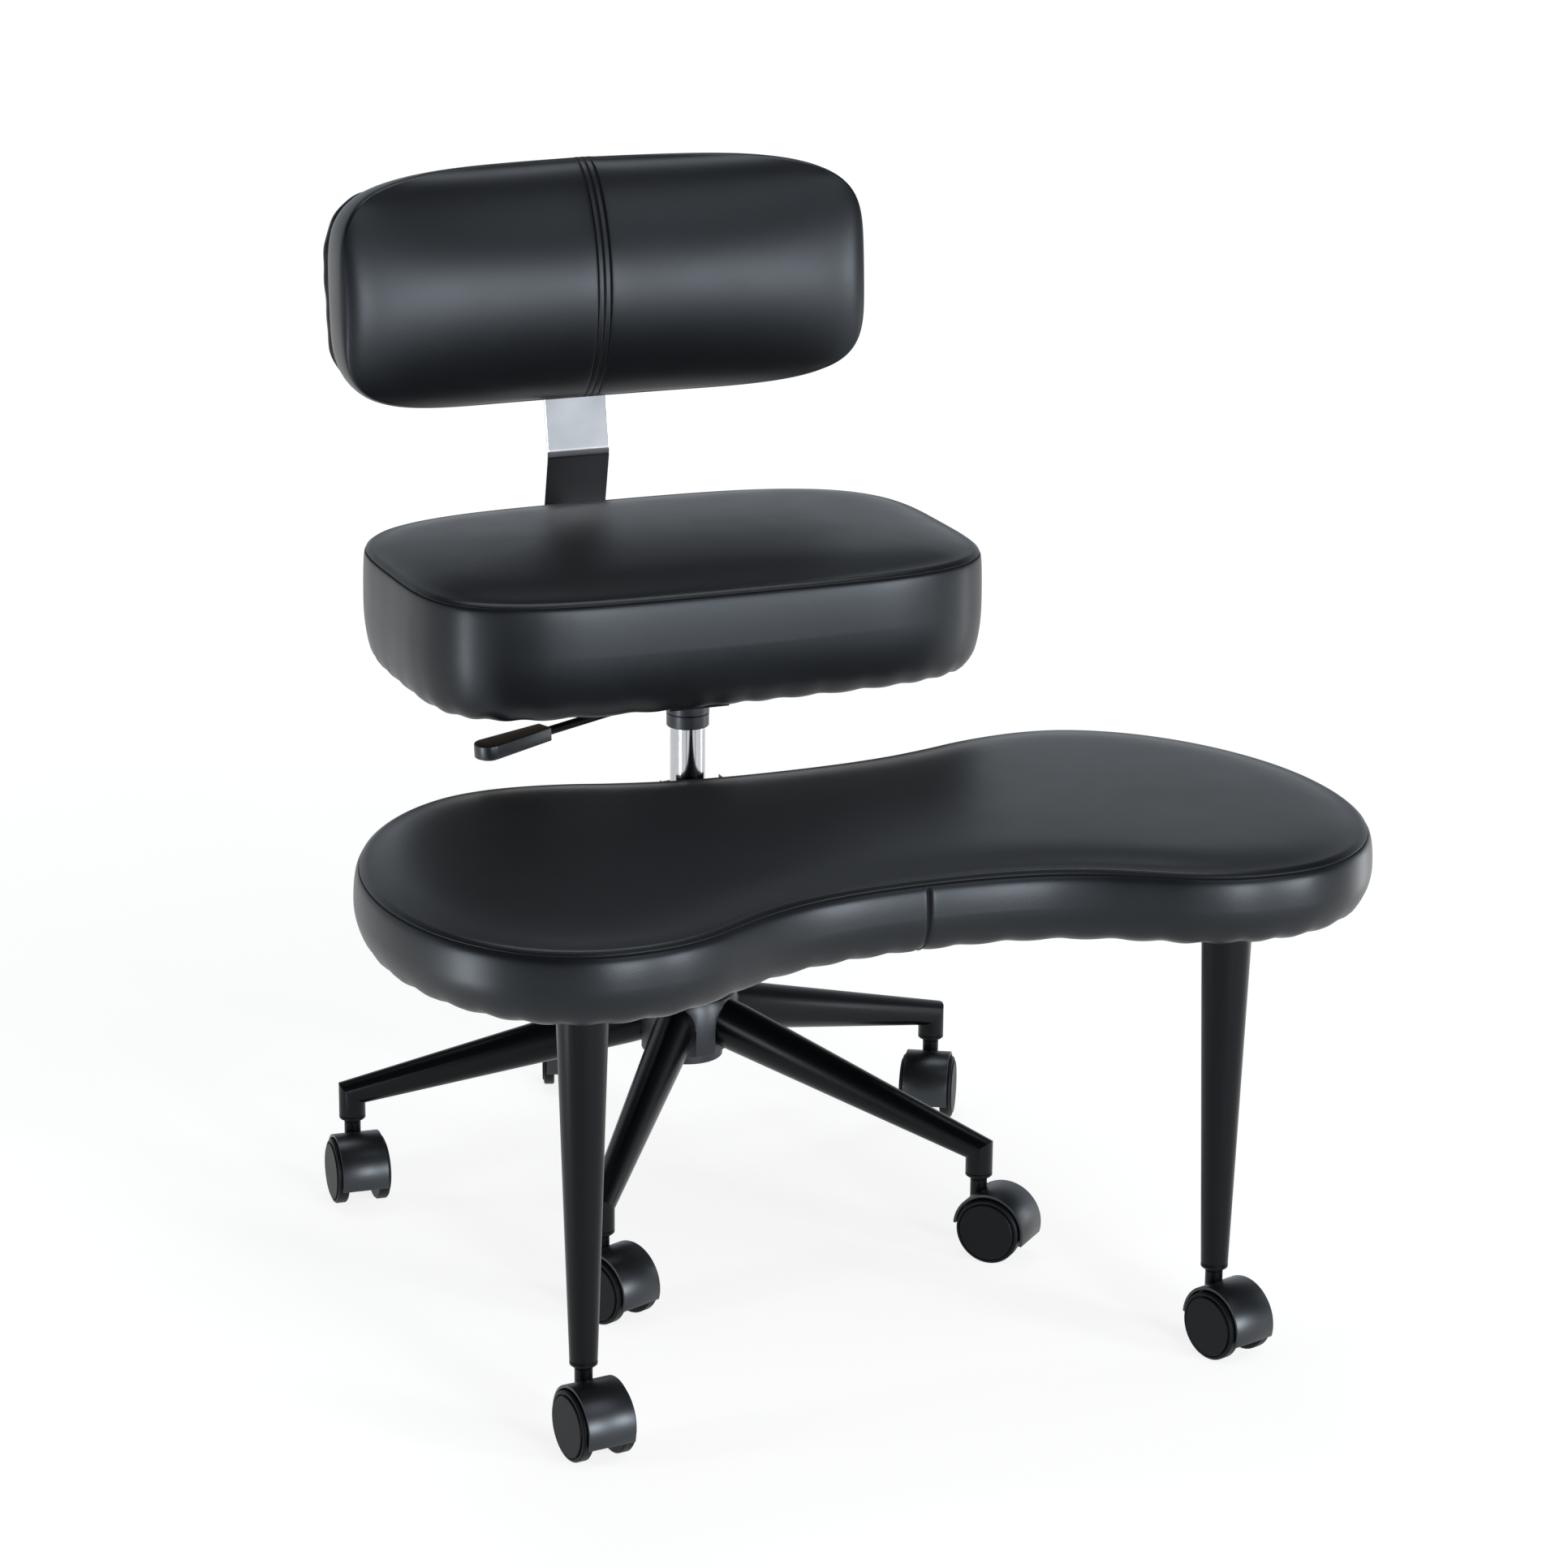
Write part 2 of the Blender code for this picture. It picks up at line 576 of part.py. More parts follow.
def hub_mesh(facets=40):
    """Moulded hub: webs between the arms, a round socket for each arm and a rim below."""
    rim = HUB_CORE_RADIUS - HUB_RIM_STEP
    web = HUB_BOTTOM + HUB_RIM_HEIGHT
    lip = HUB_BORE - COLUMN_WALL
    profile = ((lip, HUB_BOTTOM), (rim - EDGE_BREAK, HUB_BOTTOM), (rim, HUB_BOTTOM + EDGE_BREAK),
               (rim, web - EDGE_BREAK), (HUB_CORE_RADIUS, web),
               (HUB_RADIUS - HUB_WEB_CHAMFER, web), (HUB_RADIUS, web + HUB_WEB_CHAMFER),
               (HUB_RADIUS, HUB_TOP - HUB_SHOULDER),
               (HUB_RADIUS - 0.3 * HUB_SHOULDER, HUB_TOP - 0.3 * HUB_SHOULDER),
               (HUB_RADIUS - HUB_SHOULDER, HUB_TOP), (HUB_BORE, HUB_TOP),
               (HUB_BORE, HUB_BOTTOM + HUB_LIP), (lip, HUB_BOTTOM + HUB_LIP))
    body = turned("base_hub", profile, facets, ring=True)
    cutters = []
    for k in range(ARM_COUNT):
        turn = Matrix.Rotation(arm_angle(k), 4, 'Z')
        socket = loft(f"socket_{k}", [arm_ring(ARM_SEAT_RADIUS, -ARM_RING_GAP),
                                      arm_ring(2 * HUB_RADIUS, -ARM_RING_GAP)])
        half = (ARM_ROOT_WIDTH + ARM_RING_GAP) / 2
        under = block(f"under_{k}", (HUB_CORE_RADIUS, -half, HUB_BOTTOM - HUB_RIM_HEIGHT),
                      (2 * HUB_RADIUS, half, ARM_ROOT_Z))
        for cutter in (socket, under):
            cutter.transform(turn)
            cutters.append(cutter)
    return cut(body, *cutters)


def build_base(base):
    place("base_hub", hub_mesh(), "moulding", base)
    arm = arm_mesh()
    for k in range(ARM_COUNT):
        place(f"base_arm_{k + 1}", arm.copy(), "tube", base, turn=(0, 0, arm_angle(k)))
    bore = COLUMN_RADIUS - COLUMN_WALL
    drain = ROD_RADIUS + RUNNING_GAP
    tube = ((drain, TUBE_BOTTOM), (COLUMN_RADIUS, TUBE_BOTTOM), (COLUMN_RADIUS, TUBE_TOP),
            (bore, TUBE_TOP), (bore, TUBE_FLOOR), (drain, TUBE_FLOOR))
    place("column_tube", turned("column_tube", tube, 24, ring=True), "tube", base)
    guide = CYLINDER_RADIUS + RUNNING_GAP
    flange = COLUMN_RADIUS - EDGE_BREAK
    seat = TUBE_TOP + GAP
    bush = ((guide, TUBE_TOP - BUSH_LENGTH), (bore - GAP, TUBE_TOP - BUSH_LENGTH),
            (bore - GAP, seat), (flange, seat), (flange, seat + BUSH_FLANGE),
            (guide, seat + BUSH_FLANGE))
    place("column_bush", turned("column_bush", bush, 24, ring=True), "guide", base)
    race_bottom, race_top = TUBE_FLOOR + GAP, TUBE_FLOOR + GAP + BEARING_HEIGHT
    race = ((drain, race_bottom), (BEARING_RADIUS, race_bottom), (BEARING_RADIUS, race_top),
            (drain, race_top))
    place("thrust_bearing", turned("thrust_bearing", race, 16, ring=True), "bare_steel", base)


# Gas lift and seat carrier

def build_gas_lift(spindle, seat, valve):
    ledge = TUBE_FLOOR + GAP + BEARING_HEIGHT + GAP
    piston = ((0.0, TUBE_BOTTOM), (ROD_RADIUS, TUBE_BOTTOM), (ROD_RADIUS, ledge),
              (BEARING_RADIUS, ledge), (BEARING_RADIUS, ledge + ROD_FLANGE),
              (ROD_RADIUS, ledge + ROD_FLANGE), (ROD_RADIUS, ROD_TOP), (0.0, ROD_TOP))
    place("piston_rod", turned("piston_rod", piston, 12), "bare_steel", spindle)

    bore = ROD_RADIUS + RUNNING_GAP
    pin_bore = VALVE_RADIUS + RUNNING_GAP
    pin_floor = CYLINDER_TOP + VALVE_SHOW - VALVE_LENGTH - VALVE_TRAVEL
    cylinder = ((0.0, ROD_TOP + GAP), (bore, ROD_TOP + GAP), (bore, CYLINDER_BOTTOM),
                (CYLINDER_RADIUS - EDGE_BREAK, CYLINDER_BOTTOM),
                (CYLINDER_RADIUS, CYLINDER_BOTTOM + EDGE_BREAK), (CYLINDER_RADIUS, CYLINDER_TOP),
                (pin_bore, CYLINDER_TOP), (pin_bore, pin_floor), (0.0, pin_floor))
    place("gas_cylinder", turned("gas_cylinder", cylinder, 24), "chrome", seat)

    pin_top = CYLINDER_TOP + VALVE_SHOW
    place("valve_pin", rod("valve_pin", VALVE_RADIUS, (0, 0, pin_top - VALVE_LENGTH),
                           (0, 0, pin_top), 12), "bare_steel", valve)


def seat_plate_mesh():
    """Sheet under the seat board, with a channel that holds the socket for the cylinder."""
    half, wide, deep = CHANNEL_WIDTH / 2, PLATE_WIDTH / 2, PLATE_DEPTH / 2
    sheet_bottom = SEAT_UNDER - PLATE
    sheet = block("seat_plate", (-wide, -deep, sheet_bottom), (wide, deep, SEAT_UNDER))
    channel = block("channel", (-half, -CHANNEL_FRONT, CHANNEL_BOTTOM), (half, deep, SEAT_UNDER))
    hollow = block("hollow", (-half + PLATE, -2 * deep, CHANNEL_BOTTOM + PLATE),
                   (half - PLATE, 2 * deep, sheet_bottom))
    socket = rod("socket", COLLAR_RADIUS, (0, 0, COLLAR_BOTTOM), (0, 0, COLLAR_TOP), 24)
    bore = rod("bore", CYLINDER_RADIUS + GAP, (0, 0, COLLAR_BOTTOM - PLATE),
               (0, 0, COLLAR_TOP + GAP), 24)
    reach = LEVER_OUT * 3 * PLATE
    slot = rod("slot", LEVER_ROD_RADIUS + LEVER_SLOT, LEVER_PIVOT - reach, LEVER_PIVOT + reach, 12)
    return cut(fuse(cut(fuse(sheet, channel), hollow), socket), bore, slot)


def lever_rod_curve():
    """Bent rod from over the valve pin, through the channel's wall and into the grip."""
    inner = Vector((0.0, 0.0, LEVER_PIVOT.z))
    end = LEVER_PIVOT + LEVER_OUT * (LEVER_SHOW + GRIP_BORE - GAP)
    corner = LEVER_PIVOT - LEVER_OUT * (PLATE + 3 * LEVER_ROD_RADIUS)
    start, stop = corner.lerp(inner, 0.4), corner + LEVER_OUT * 2 * LEVER_ROD_RADIUS
    points = [inner]
    points += [Vector(p) for p in bezier(start, start.lerp(corner, 0.6), stop.lerp(corner, 0.6),
                                         stop, 4)]
    points.append(stop)
    points.append(end)
    curve = bpy.data.curves.new("lever_rod", 'CURVE')
    curve.dimensions = '3D'
    curve.bevel_depth = LEVER_ROD_RADIUS
    curve.bevel_resolution = 2
    curve.use_fill_caps = True
    spline = curve.splines.new('POLY')
    spline.points.add(len(points) - 1)
    for knot, point in zip(spline.points, points):
        knot.co = (*(point - LEVER_PIVOT), 1.0)
    return curve


def grip_mesh(arc=6):
    """Paddle that widens to a round tip, with a finger pad under it and a bore for the rod."""
    tip = GRIP_LENGTH - GRIP_END / 2
    outline = [(0.0, -GRIP_NECK / 2, 0.0)]
    for k in range(arc + 1):
        angle = -pi / 2 + pi * k / arc
        outline.append((tip + GRIP_END / 2 * cos(angle), GRIP_END / 2 * sin(angle), 0.0))
    outline.append((0.0, GRIP_NECK / 2, 0.0))
    bm = bmesh.new()
    bm.from_mesh(prism("lever_grip", outline, GRIP_HEIGHT))
    rims = [edge for edge in bm.edges if edge.verts[0].co.z * edge.verts[1].co.z > 0]
    bmesh.ops.bevel(bm, geom=rims, offset=GRIP_EDGE, offset_type='OFFSET', segments=1,
                    profile=0.5, affect='EDGES', material=-1)
    body = finished(bm, "lever_grip")
    pad = rod("pad", GRIP_END / 2 - 0.003, (tip, 0, -GRIP_HEIGHT / 2 - GRIP_PAD), (tip, 0, 0), 12)
    bore = rod("bore", LEVER_ROD_RADIUS + GAP, (-GRIP_BORE, 0, 0), (GRIP_BORE, 0, 0), 12)
    return cut(fuse(body, pad), bore)


def build_carrier(seat, lever):
    place("seat_plate", seat_plate_mesh(), "tube", seat)
    place("lever_rod", lever_rod_curve(), "tube", lever)
    grip_at = LEVER_OUT * LEVER_SHOW
    heading = LEVER_OUT.to_track_quat('X', 'Z').to_euler()
    place("lever_grip", grip_mesh(), "moulding", lever, at=grip_at, turn=heading)


# Upholstery

def pad_mesh(name, outline, underside, band, crown):
    """Boxed pad: a recess for its board, drawn-in sides, a sewn seam with a welt, a crown."""
    seam = underside + band
    steps = ((BOARD_INSET, underside + BOARD + GAP), (BOARD_INSET, underside),
             (UNDERSIDE_INSET, underside), (0.36 * UNDERSIDE_INSET, underside + 0.16 * band),
             (0.06 * UNDERSIDE_INSET, underside + 0.40 * band), (0.0, underside + 0.62 * band),
             (SEAM_DEPTH, seam - SEAM_DEPTH), (2 * SEAM_DEPTH, seam),
             (1.4 * SEAM_DEPTH, seam + SEAM_DEPTH), (1.4 * SEAM_DEPTH + WELT, seam + 0.50 * crown),
             (5 * WELT, seam + 0.84 * crown), (13 * WELT, seam + crown))
    rings = [[(x, y, height) for x, y in drawn_in(outline, inset)] for inset, height in steps]
    return loft(name, rings, smooth_angle=60.0)


def board_mesh(name, outline, underside):
    inner = drawn_in(outline, BOARD_INSET + GAP)
    return loft(name, [[(x, y, z) for x, y in inner] for z in (underside, underside + BOARD)])


def seat_outline(count=48):
    shape = superellipse(SEAT_WIDTH / 2, SEAT_DEPTH / 2, SEAT_FRONT_SQUARENESS,
                         SEAT_REAR_SQUARENESS, count)
    return [(x, y + SEAT_SETBACK) for x, y in shape]


def platform_outline(count=64, front_end=0.58, rear_end=0.52, waist_pull=0.65, lobe_pull=0.40):
    """Kidney outline: one side from the front waist round to the rear waist, then mirrored."""
    waist, lobe = (0.0, -WAIST_FRONT), (LOBE_FRONT_X, -LOBE_FRONT)
    side = (PLATFORM_HALF_WIDTH, -PLATFORM_SIDE)
    back_lobe, back_waist = (LOBE_REAR_X, -LOBE_REAR), (0.0, -WAIST_REAR)

    def curve(start, end, level_start, level_end, pull_start, pull_end):
        run, rise = end[0] - start[0], end[1] - start[1]
        leave = (run * pull_start, 0.0) if level_start else (0.0, rise * pull_start)
        reach = (run * pull_end, 0.0) if level_end else (0.0, rise * pull_end)
        return bezier(start, (start[0] + leave[0], start[1] + leave[1]),
                      (end[0] - reach[0], end[1] - reach[1]), end)

    half = [*curve(waist, lobe, True, True, waist_pull, lobe_pull),
            *curve(lobe, side, True, False, front_end, front_end),
            *curve(side, back_lobe, False, True, rear_end, rear_end),
            *curve(back_lobe, back_waist, True, True, lobe_pull, waist_pull), back_waist]
    mirrored = [(-x, y) for x, y in reversed(half[1:-1])]
    return evenly(half + mirrored, count)


def back_point(across, up, depth):
    return Vector((across, depth, up))


def back_pad_mesh(rows=10):
    """Lumbar pad: a full crown with a sewn channel down its middle and drawn-in sides."""
    half_width, half_height = BACK_WIDTH / 2, BACK_HEIGHT / 2
    channel = BACK_SEAM_WIDTH / 2
    spread = (1.0, 0.985, 0.95, 0.89, 0.80, 0.67, 0.51, 0.34, 0.17)
    right = [share * half_width for share in spread] + [1.8 * channel, channel]
    columns = [-x for x in right] + [0.0] + right[::-1]
    end_share = 0.93

    def half_height_at(x):
        share = min(abs(x) / half_width, 1.0) * end_share ** (1.0 / BACK_SQUARENESS)
        return half_height * (1.0 - share ** BACK_SQUARENESS) ** (1.0 / BACK_SQUARENESS)

    def crown_depth(x, t):
        end = abs(x / half_width) ** 5
        depth = BACK_CROWN * t * t * (1.0 - end) + BACK_END_CROWN * end
        return depth + (BACK_SEAM_DEPTH * (1.0 - t**4) if abs(x) < channel / 2 else 0.0)

    steps = [sin(pi / 2 * (2.0 * k / rows - 1.0)) for k in range(rows + 1)]
    bm = bmesh.new()
    grid = [[bm.verts.new(back_point(x, t * half_height_at(x), crown_depth(x, t))) for t in steps]
            for x in columns]
    for left, right_column in zip(grid, grid[1:]):
        for k in range(rows):
            bm.faces.new((left[k], right_column[k], right_column[k + 1], left[k + 1]))
    edge = [edge for edge in bm.edges if edge.is_boundary]
    for share, inset in ((0.25, -0.25), (0.45, 0.15), (1.0, 1.0)):
        grown = bmesh.ops.extrude_edge_only(bm, edges=edge)["geom"]
        edge = [item for item in grown if isinstance(item, bmesh.types.BMEdge)]
        for vert in {vert for item in edge for vert in item.verts}:
            vert.co.y += share * (BACK_DEPTH - vert.co.y)
        shrink_loop(edge, inset * BACK_DRAWN_IN, half_width, half_height)
    bmesh.ops.contextual_create(bm, geom=edge)
    return finished(bm, "back_cushion", smooth_angle=60.0)


def shrink_loop(edges, inset, half_width, half_height):
    """Set a loop of the back's side to the pad's outline, drawn in by the given amount."""
    for vert in {vert for edge in edges for vert in edge.verts}:
        x, z = vert.co.x, vert.co.z
        size = (abs(x / half_width) ** BACK_SQUARENESS
                + abs(z / half_height) ** BACK_SQUARENESS) ** (1.0 / BACK_SQUARENESS)
        vert.co.x = x / size * (1.0 - inset / half_width)
        vert.co.z = z / size * (1.0 - inset / half_height)


def cover_mesh(count=40):
    """Rear panel of the back, with a rounded outer edge."""
    shape = superellipse(BACK_WIDTH / 2 - COVER_INSET, BACK_HEIGHT / 2 - COVER_INSET,
                         BACK_SQUARENESS, BACK_SQUARENESS, count)
    front = BACK_DEPTH + GAP
    steps = ((0.2 * COVER, 0.0), (0.0, 0.15 * COVER), (0.05 * COVER, 0.35 * COVER),
             (0.5 * COVER, 0.7 * COVER), (1.2 * COVER, 0.93 * COVER), (2.0 * COVER, COVER))
    rings = [[back_point(x, z, front + depth) for x, z in drawn_in(shape, inset)]
             for inset, depth in steps]
    return loft("back_cover", rings, smooth_angle=60.0)


def rounded_path(corners, radius, steps=5):
    """Replace each inner corner of a path of (y, z) points by an arc."""
    path = [Vector(corners[0])]
    for before, corner, after in zip(corners, corners[1:], corners[2:]):
        corner = Vector(corner)
        come, leave = (corner - Vector(before)).normalized(), (Vector(after) - corner).normalized()
        reach = radius * tan(come.angle(leave) / 2)
        start, end = corner - come * reach, corner + leave * reach
        path += [Vector(p) for p in bezier(start, start.lerp(corner, 0.55), end.lerp(corner, 0.55),
                                           end, steps)] + [end]
    path.append(Vector(corners[-1]))
    return path


def strip_mesh():
    """Flat steel strip, bent up behind the seat and set back again along the cover."""
    floor = SEAT_UNDER - STRIP / 2
    lean = radians(BACK_LEAN)
    cover_z = SEAT_BOTTOM + STRIP_COVER_RISE
    top_z = SEAT_BOTTOM + STRIP_TOP_RISE
    back_y = BACK_FRONT + (COVER_REAR + GAP + STRIP / 2) / cos(lean)

    def along_cover(z):
        return (back_y + (z - BACK_Z) * tan(lean), z)

    bend_z = SEAT_BOTTOM + STRIP_BEND_RISE
    bend_y = along_cover(cover_z)[0] - (cover_z - bend_z) * tan(radians(STRIP_HIGH_LEAN))
    heel_y = bend_y + (bend_z - floor) * tan(radians(STRIP_LOW_LEAN))
    corners = [(STRIP_ROOT, floor), (heel_y, floor), (bend_y, bend_z), along_cover(cover_z),
               along_cover(top_z)]
    path = rounded_path(corners, STRIP_BEND_RADIUS)
    one, other = [], []
    for k, point in enumerate(path):
        way = (path[min(k + 1, len(path) - 1)] - path[max(k - 1, 0)]).normalized()
        side = Vector((-way.y, way.x)) * STRIP / 2
        one.append((0.0, *(point + side)))
        other.append((0.0, *(point - side)))
    return prism("back_bracket", one + other[::-1], STRIP_WIDTH)


def build_seat(seat):
    outline = seat_outline()
    pad = pad_mesh("seat_cushion", outline, SEAT_BOTTOM, SEAT_BAND, SEAT_CROWN)
    place("seat_cushion", pad, "leather", seat)
    place("seat_board", board_mesh("seat_board", outline, SEAT_BOTTOM), "plywood", seat)
    place("back_bracket", strip_mesh(), "strip", seat)
    back = joint("back", seat, at=(0.0, BACK_FRONT, BACK_Z), turn=(-radians(BACK_LEAN), 0, 0))
    place("back_cushion", back_pad_mesh(), "leather", back)
    place("back_cover", cover_mesh(), "leather", back)


# Platform

def leg_mesh():
    """Tapered leg with a screw flange, a rim at the foot and a bore for the caster's pin."""
    top = PLATFORM_BOTTOM - GAP
    flange = top - LEG_FLANGE
    foot = CASTER_HEIGHT
    bore = STEM_PIN_RADIUS + GAP
    profile = ((0.0, top), (LEG_FLANGE_RADIUS, top), (LEG_FLANGE_RADIUS, flange),
               (LEG_TOP_RADIUS, flange), (LEG_FOOT_RADIUS, foot + LEG_FOOT_RIM),
               (LEG_FOOT_RADIUS - EDGE_BREAK, foot + LEG_FOOT_RIM - EDGE_BREAK),
               (LEG_FOOT_RADIUS - EDGE_BREAK, foot), (bore, foot),
               (bore, foot + STEM_PIN_LENGTH + GAP), (0.0, foot + STEM_PIN_LENGTH + GAP))
    return turned("platform_leg", profile, 20)


def platform_bracket_mesh():
    """Ring that turns on the column tube, with a bar under the platform's board."""
    outer = COLUMN_RADIUS + RUNNING_GAP + RING_WALL
    top = PLATFORM_BOTTOM - GAP
    half = BRACKET_BAR_WIDTH / 2
    ring = rod("platform_bracket", outer, (0, 0, RING_TOP - RING_HEIGHT), (0, 0, RING_TOP), 24)
    bar = block("bar", (-half, -BRACKET_BAR_REACH, top - BRACKET_BAR_HEIGHT), (half, 0.0, top))
    bore = rod("bore", COLUMN_RADIUS + RUNNING_GAP, (0, 0, RING_TOP - 2 * RING_HEIGHT),
               (0, 0, RING_TOP + RING_HEIGHT), 24)
    return cut(fuse(ring, bar), bore)


def build_platform(platform):
    outline = platform_outline()
    pad = pad_mesh("platform_cushion", outline, PLATFORM_BOTTOM, PLATFORM_BAND, PLATFORM_CROWN)
    place("platform_cushion", pad, "leather", platform)
    place("platform_board", board_mesh("platform_board", outline, PLATFORM_BOTTOM), "plywood",
          platform)
    place("platform_bracket", platform_bracket_mesh(), "tube", platform)
    leg = leg_mesh()
    for side, name in ((1, "left"), (-1, "right")):
        place(f"platform_leg_{name}", leg.copy(), "tube", platform, at=(side * LEG_X, -LEG_Y, 0.0))


def stand_on_origin(chair):
    """Move the chair so that the middle of its footprint is at the origin."""
    bpy.context.view_layer.update()
    graph = bpy.context.evaluated_depsgraph_get()
    low, high = [], []
    for obj in bpy.context.scene.objects:
        if obj.type in {'MESH', 'CURVE'}:
            shape = obj.evaluated_get(graph)
            mesh = shape.to_mesh()
            depths = [(obj.matrix_world @ vert.co).y for vert in mesh.vertices]
            low.append(min(depths))
            high.append(max(depths))
            shape.to_mesh_clear()
    chair.location.y = -(min(low) + max(high)) / 2


def main():
    for obj in list(bpy.data.objects):
        bpy.data.objects.remove(obj)
    chair = joint("chair")
    base = joint("base", chair)
    spindle = joint("seat_swivel", chair)
    seat = joint("seat_lift", spindle)
    valve = joint("valve_slide", seat)
    lever = joint("lever_pivot", seat, at=LEVER_PIVOT)
    platform = joint("platform_swivel", chair)
    build_base(base)
    build_gas_lift(spindle, seat, valve)
    build_carrier(seat, lever)
    build_seat(seat)
    build_platform(platform)
    build_casters(base, platform)
    stand_on_origin(chair)


main()
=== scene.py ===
# %% [markdown]
# # A chair for sitting cross-legged
# A padded seat and a short lumbar back stand on a gas lift and a five-arm base with twin-wheel
# casters. A wide kidney-shaped platform for the knees stands in front, on two legs of its own.
# The frame already holds every piece as a plain solid at its real size, with the joints it moves
# on. This lesson gives each piece its finished surface, and leaves the solids where they are.

# %% Load the frame and measure it
import json
from math import atan2, copysign, cos, exp, pi, radians, sin, tan, tau

import bmesh
import bpy
from mathutils import Matrix, Vector
from mathutils.geometry import interpolate_bezier

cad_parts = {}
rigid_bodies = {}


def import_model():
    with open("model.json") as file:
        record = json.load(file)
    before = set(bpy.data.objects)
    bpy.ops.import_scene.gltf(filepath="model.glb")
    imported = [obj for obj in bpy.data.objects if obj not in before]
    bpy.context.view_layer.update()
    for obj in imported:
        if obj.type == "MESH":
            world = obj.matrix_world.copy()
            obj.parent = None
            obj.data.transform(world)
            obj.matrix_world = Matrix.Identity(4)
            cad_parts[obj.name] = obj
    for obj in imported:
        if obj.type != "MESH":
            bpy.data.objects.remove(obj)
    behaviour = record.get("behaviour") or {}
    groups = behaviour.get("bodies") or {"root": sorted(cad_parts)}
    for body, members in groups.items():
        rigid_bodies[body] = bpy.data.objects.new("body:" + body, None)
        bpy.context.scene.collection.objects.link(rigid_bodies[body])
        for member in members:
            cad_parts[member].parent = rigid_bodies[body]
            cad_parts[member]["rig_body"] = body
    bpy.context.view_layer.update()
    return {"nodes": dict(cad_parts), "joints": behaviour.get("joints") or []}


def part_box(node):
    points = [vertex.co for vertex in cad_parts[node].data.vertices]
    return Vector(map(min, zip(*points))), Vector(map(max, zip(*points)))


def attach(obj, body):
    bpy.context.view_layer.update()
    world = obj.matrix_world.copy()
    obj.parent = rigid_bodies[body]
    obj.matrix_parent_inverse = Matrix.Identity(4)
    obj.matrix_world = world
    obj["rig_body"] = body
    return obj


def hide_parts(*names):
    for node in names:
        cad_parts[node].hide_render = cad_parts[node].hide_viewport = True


for leftover in list(bpy.data.objects):
    bpy.data.objects.remove(leftover)
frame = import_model()
nodes = frame["nodes"]
joints = {joint["name"]: joint for joint in frame["joints"]}
column = Vector(joints["seat_swivel"]["pos_m"]).to_2d().to_3d()
print("column at y =", round(column.y, 4))

# %% [markdown]
# ## Helpers for rigid pieces
# Most rigid pieces of a chair are turned, or are plates and tubes with softened edges. A lathe
# shape is one profile that `spin` carries round an axis. A softened edge is a small bevel: light
# catches it, and without it a render looks like a drawing. The last helper ends every piece the
# same way: it shades the mesh, hides the solid that the piece stands for and rides on its body.

# %% Spin a profile, soften edges, finish a piece
def turn(bm, profile, segments=72, closed=False):
    """Spin a profile of (radius, height) points round the Z axis."""
    verts = [bm.verts.new((radius, 0.0, height)) for radius, height in profile]
    pairs = list(zip(verts, verts[1:])) + ([(verts[-1], verts[0])] if closed else [])
    edges = [bm.edges.new(pair) for pair in pairs]
    bmesh.ops.spin(bm, geom=verts + edges, axis=(0, 0, 1), cent=(0, 0, 0), angle=tau,
                   steps=segments, use_merge=True)
    bmesh.ops.remove_doubles(bm, verts=bm.verts, dist=1e-6)
    bmesh.ops.recalc_face_normals(bm, faces=bm.faces)


def soften(bm, width, segments=2, sharper_than=28.0):
    """Bevel every edge that is sharper than an angle in degrees."""
    sharp = [edge for edge in bm.edges
             if edge.is_manifold and edge.calc_face_angle() > radians(sharper_than)]
    bmesh.ops.bevel(bm, geom=sharp, offset=width, offset_type='OFFSET', segments=segments,
                    profile=0.5, affect='EDGES', clamp_overlap=True, material=-1)


def in_scene(name, data):
    obj = bpy.data.objects.new(name, data)
    bpy.context.scene.collection.objects.link(obj)
    return obj


def linked(bm, name, finish, sharp=30.0):
    """Make an object of a bmesh, smooth except at edges sharper than an angle."""
    mesh = bpy.data.meshes.new(name)
    bm.to_mesh(mesh)
    bm.free()
    mesh.materials.append(finish)
    mesh.shade_smooth()
    mesh.set_sharp_from_angle(angle=radians(sharp))
    return in_scene(name, mesh)


def dress(obj, node, shown=False):
    """Let a piece ride with a solid and stand for it, unless the solid stays shown."""
    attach(obj, nodes[node]["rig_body"])
    if not shown:
        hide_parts(node)
    return obj


def moved(bm, matrix):
    bmesh.ops.transform(bm, matrix=matrix, verts=bm.verts)
    return bm


# %% [markdown]
# ## Finishes
# A finish is a Principled shader whose roughness and bump come from small patterns. Every pattern
# reads Object coordinates in metres, so a scale of 1000 means details of about a millimetre. A
# value that is the same all over stays on the shader's own socket.

# %% Node helpers
COOL_GLOSS = (0.84, 0.92, 1.0, 1.0)


def feed(node, **inputs):
    """Set a node's inputs, each to a value or from another node's socket."""
    for name, value in inputs.items():
        socket = node.inputs[name.replace("_", " ")]
        if isinstance(value, bpy.types.NodeSocket):
            node.id_data.links.new(value, socket)
        else:
            socket.default_value = value
    return node


def added(tree, kind, **inputs):
    return feed(tree.nodes.new("ShaderNode" + kind), **inputs)


def new_finish(name, colour, metallic=0.0, specular=0.5):
    material = bpy.data.materials.new(name)
    material.use_nodes = True
    tree = material.node_tree
    shader = tree.nodes["Principled BSDF"]
    feed(shader, Base_Color=(*colour, 1.0), Metallic=metallic, Specular_IOR_Level=specular)
    if metallic == 0.0:
        feed(shader, Specular_Tint=COOL_GLOSS)
    return material, tree, shader


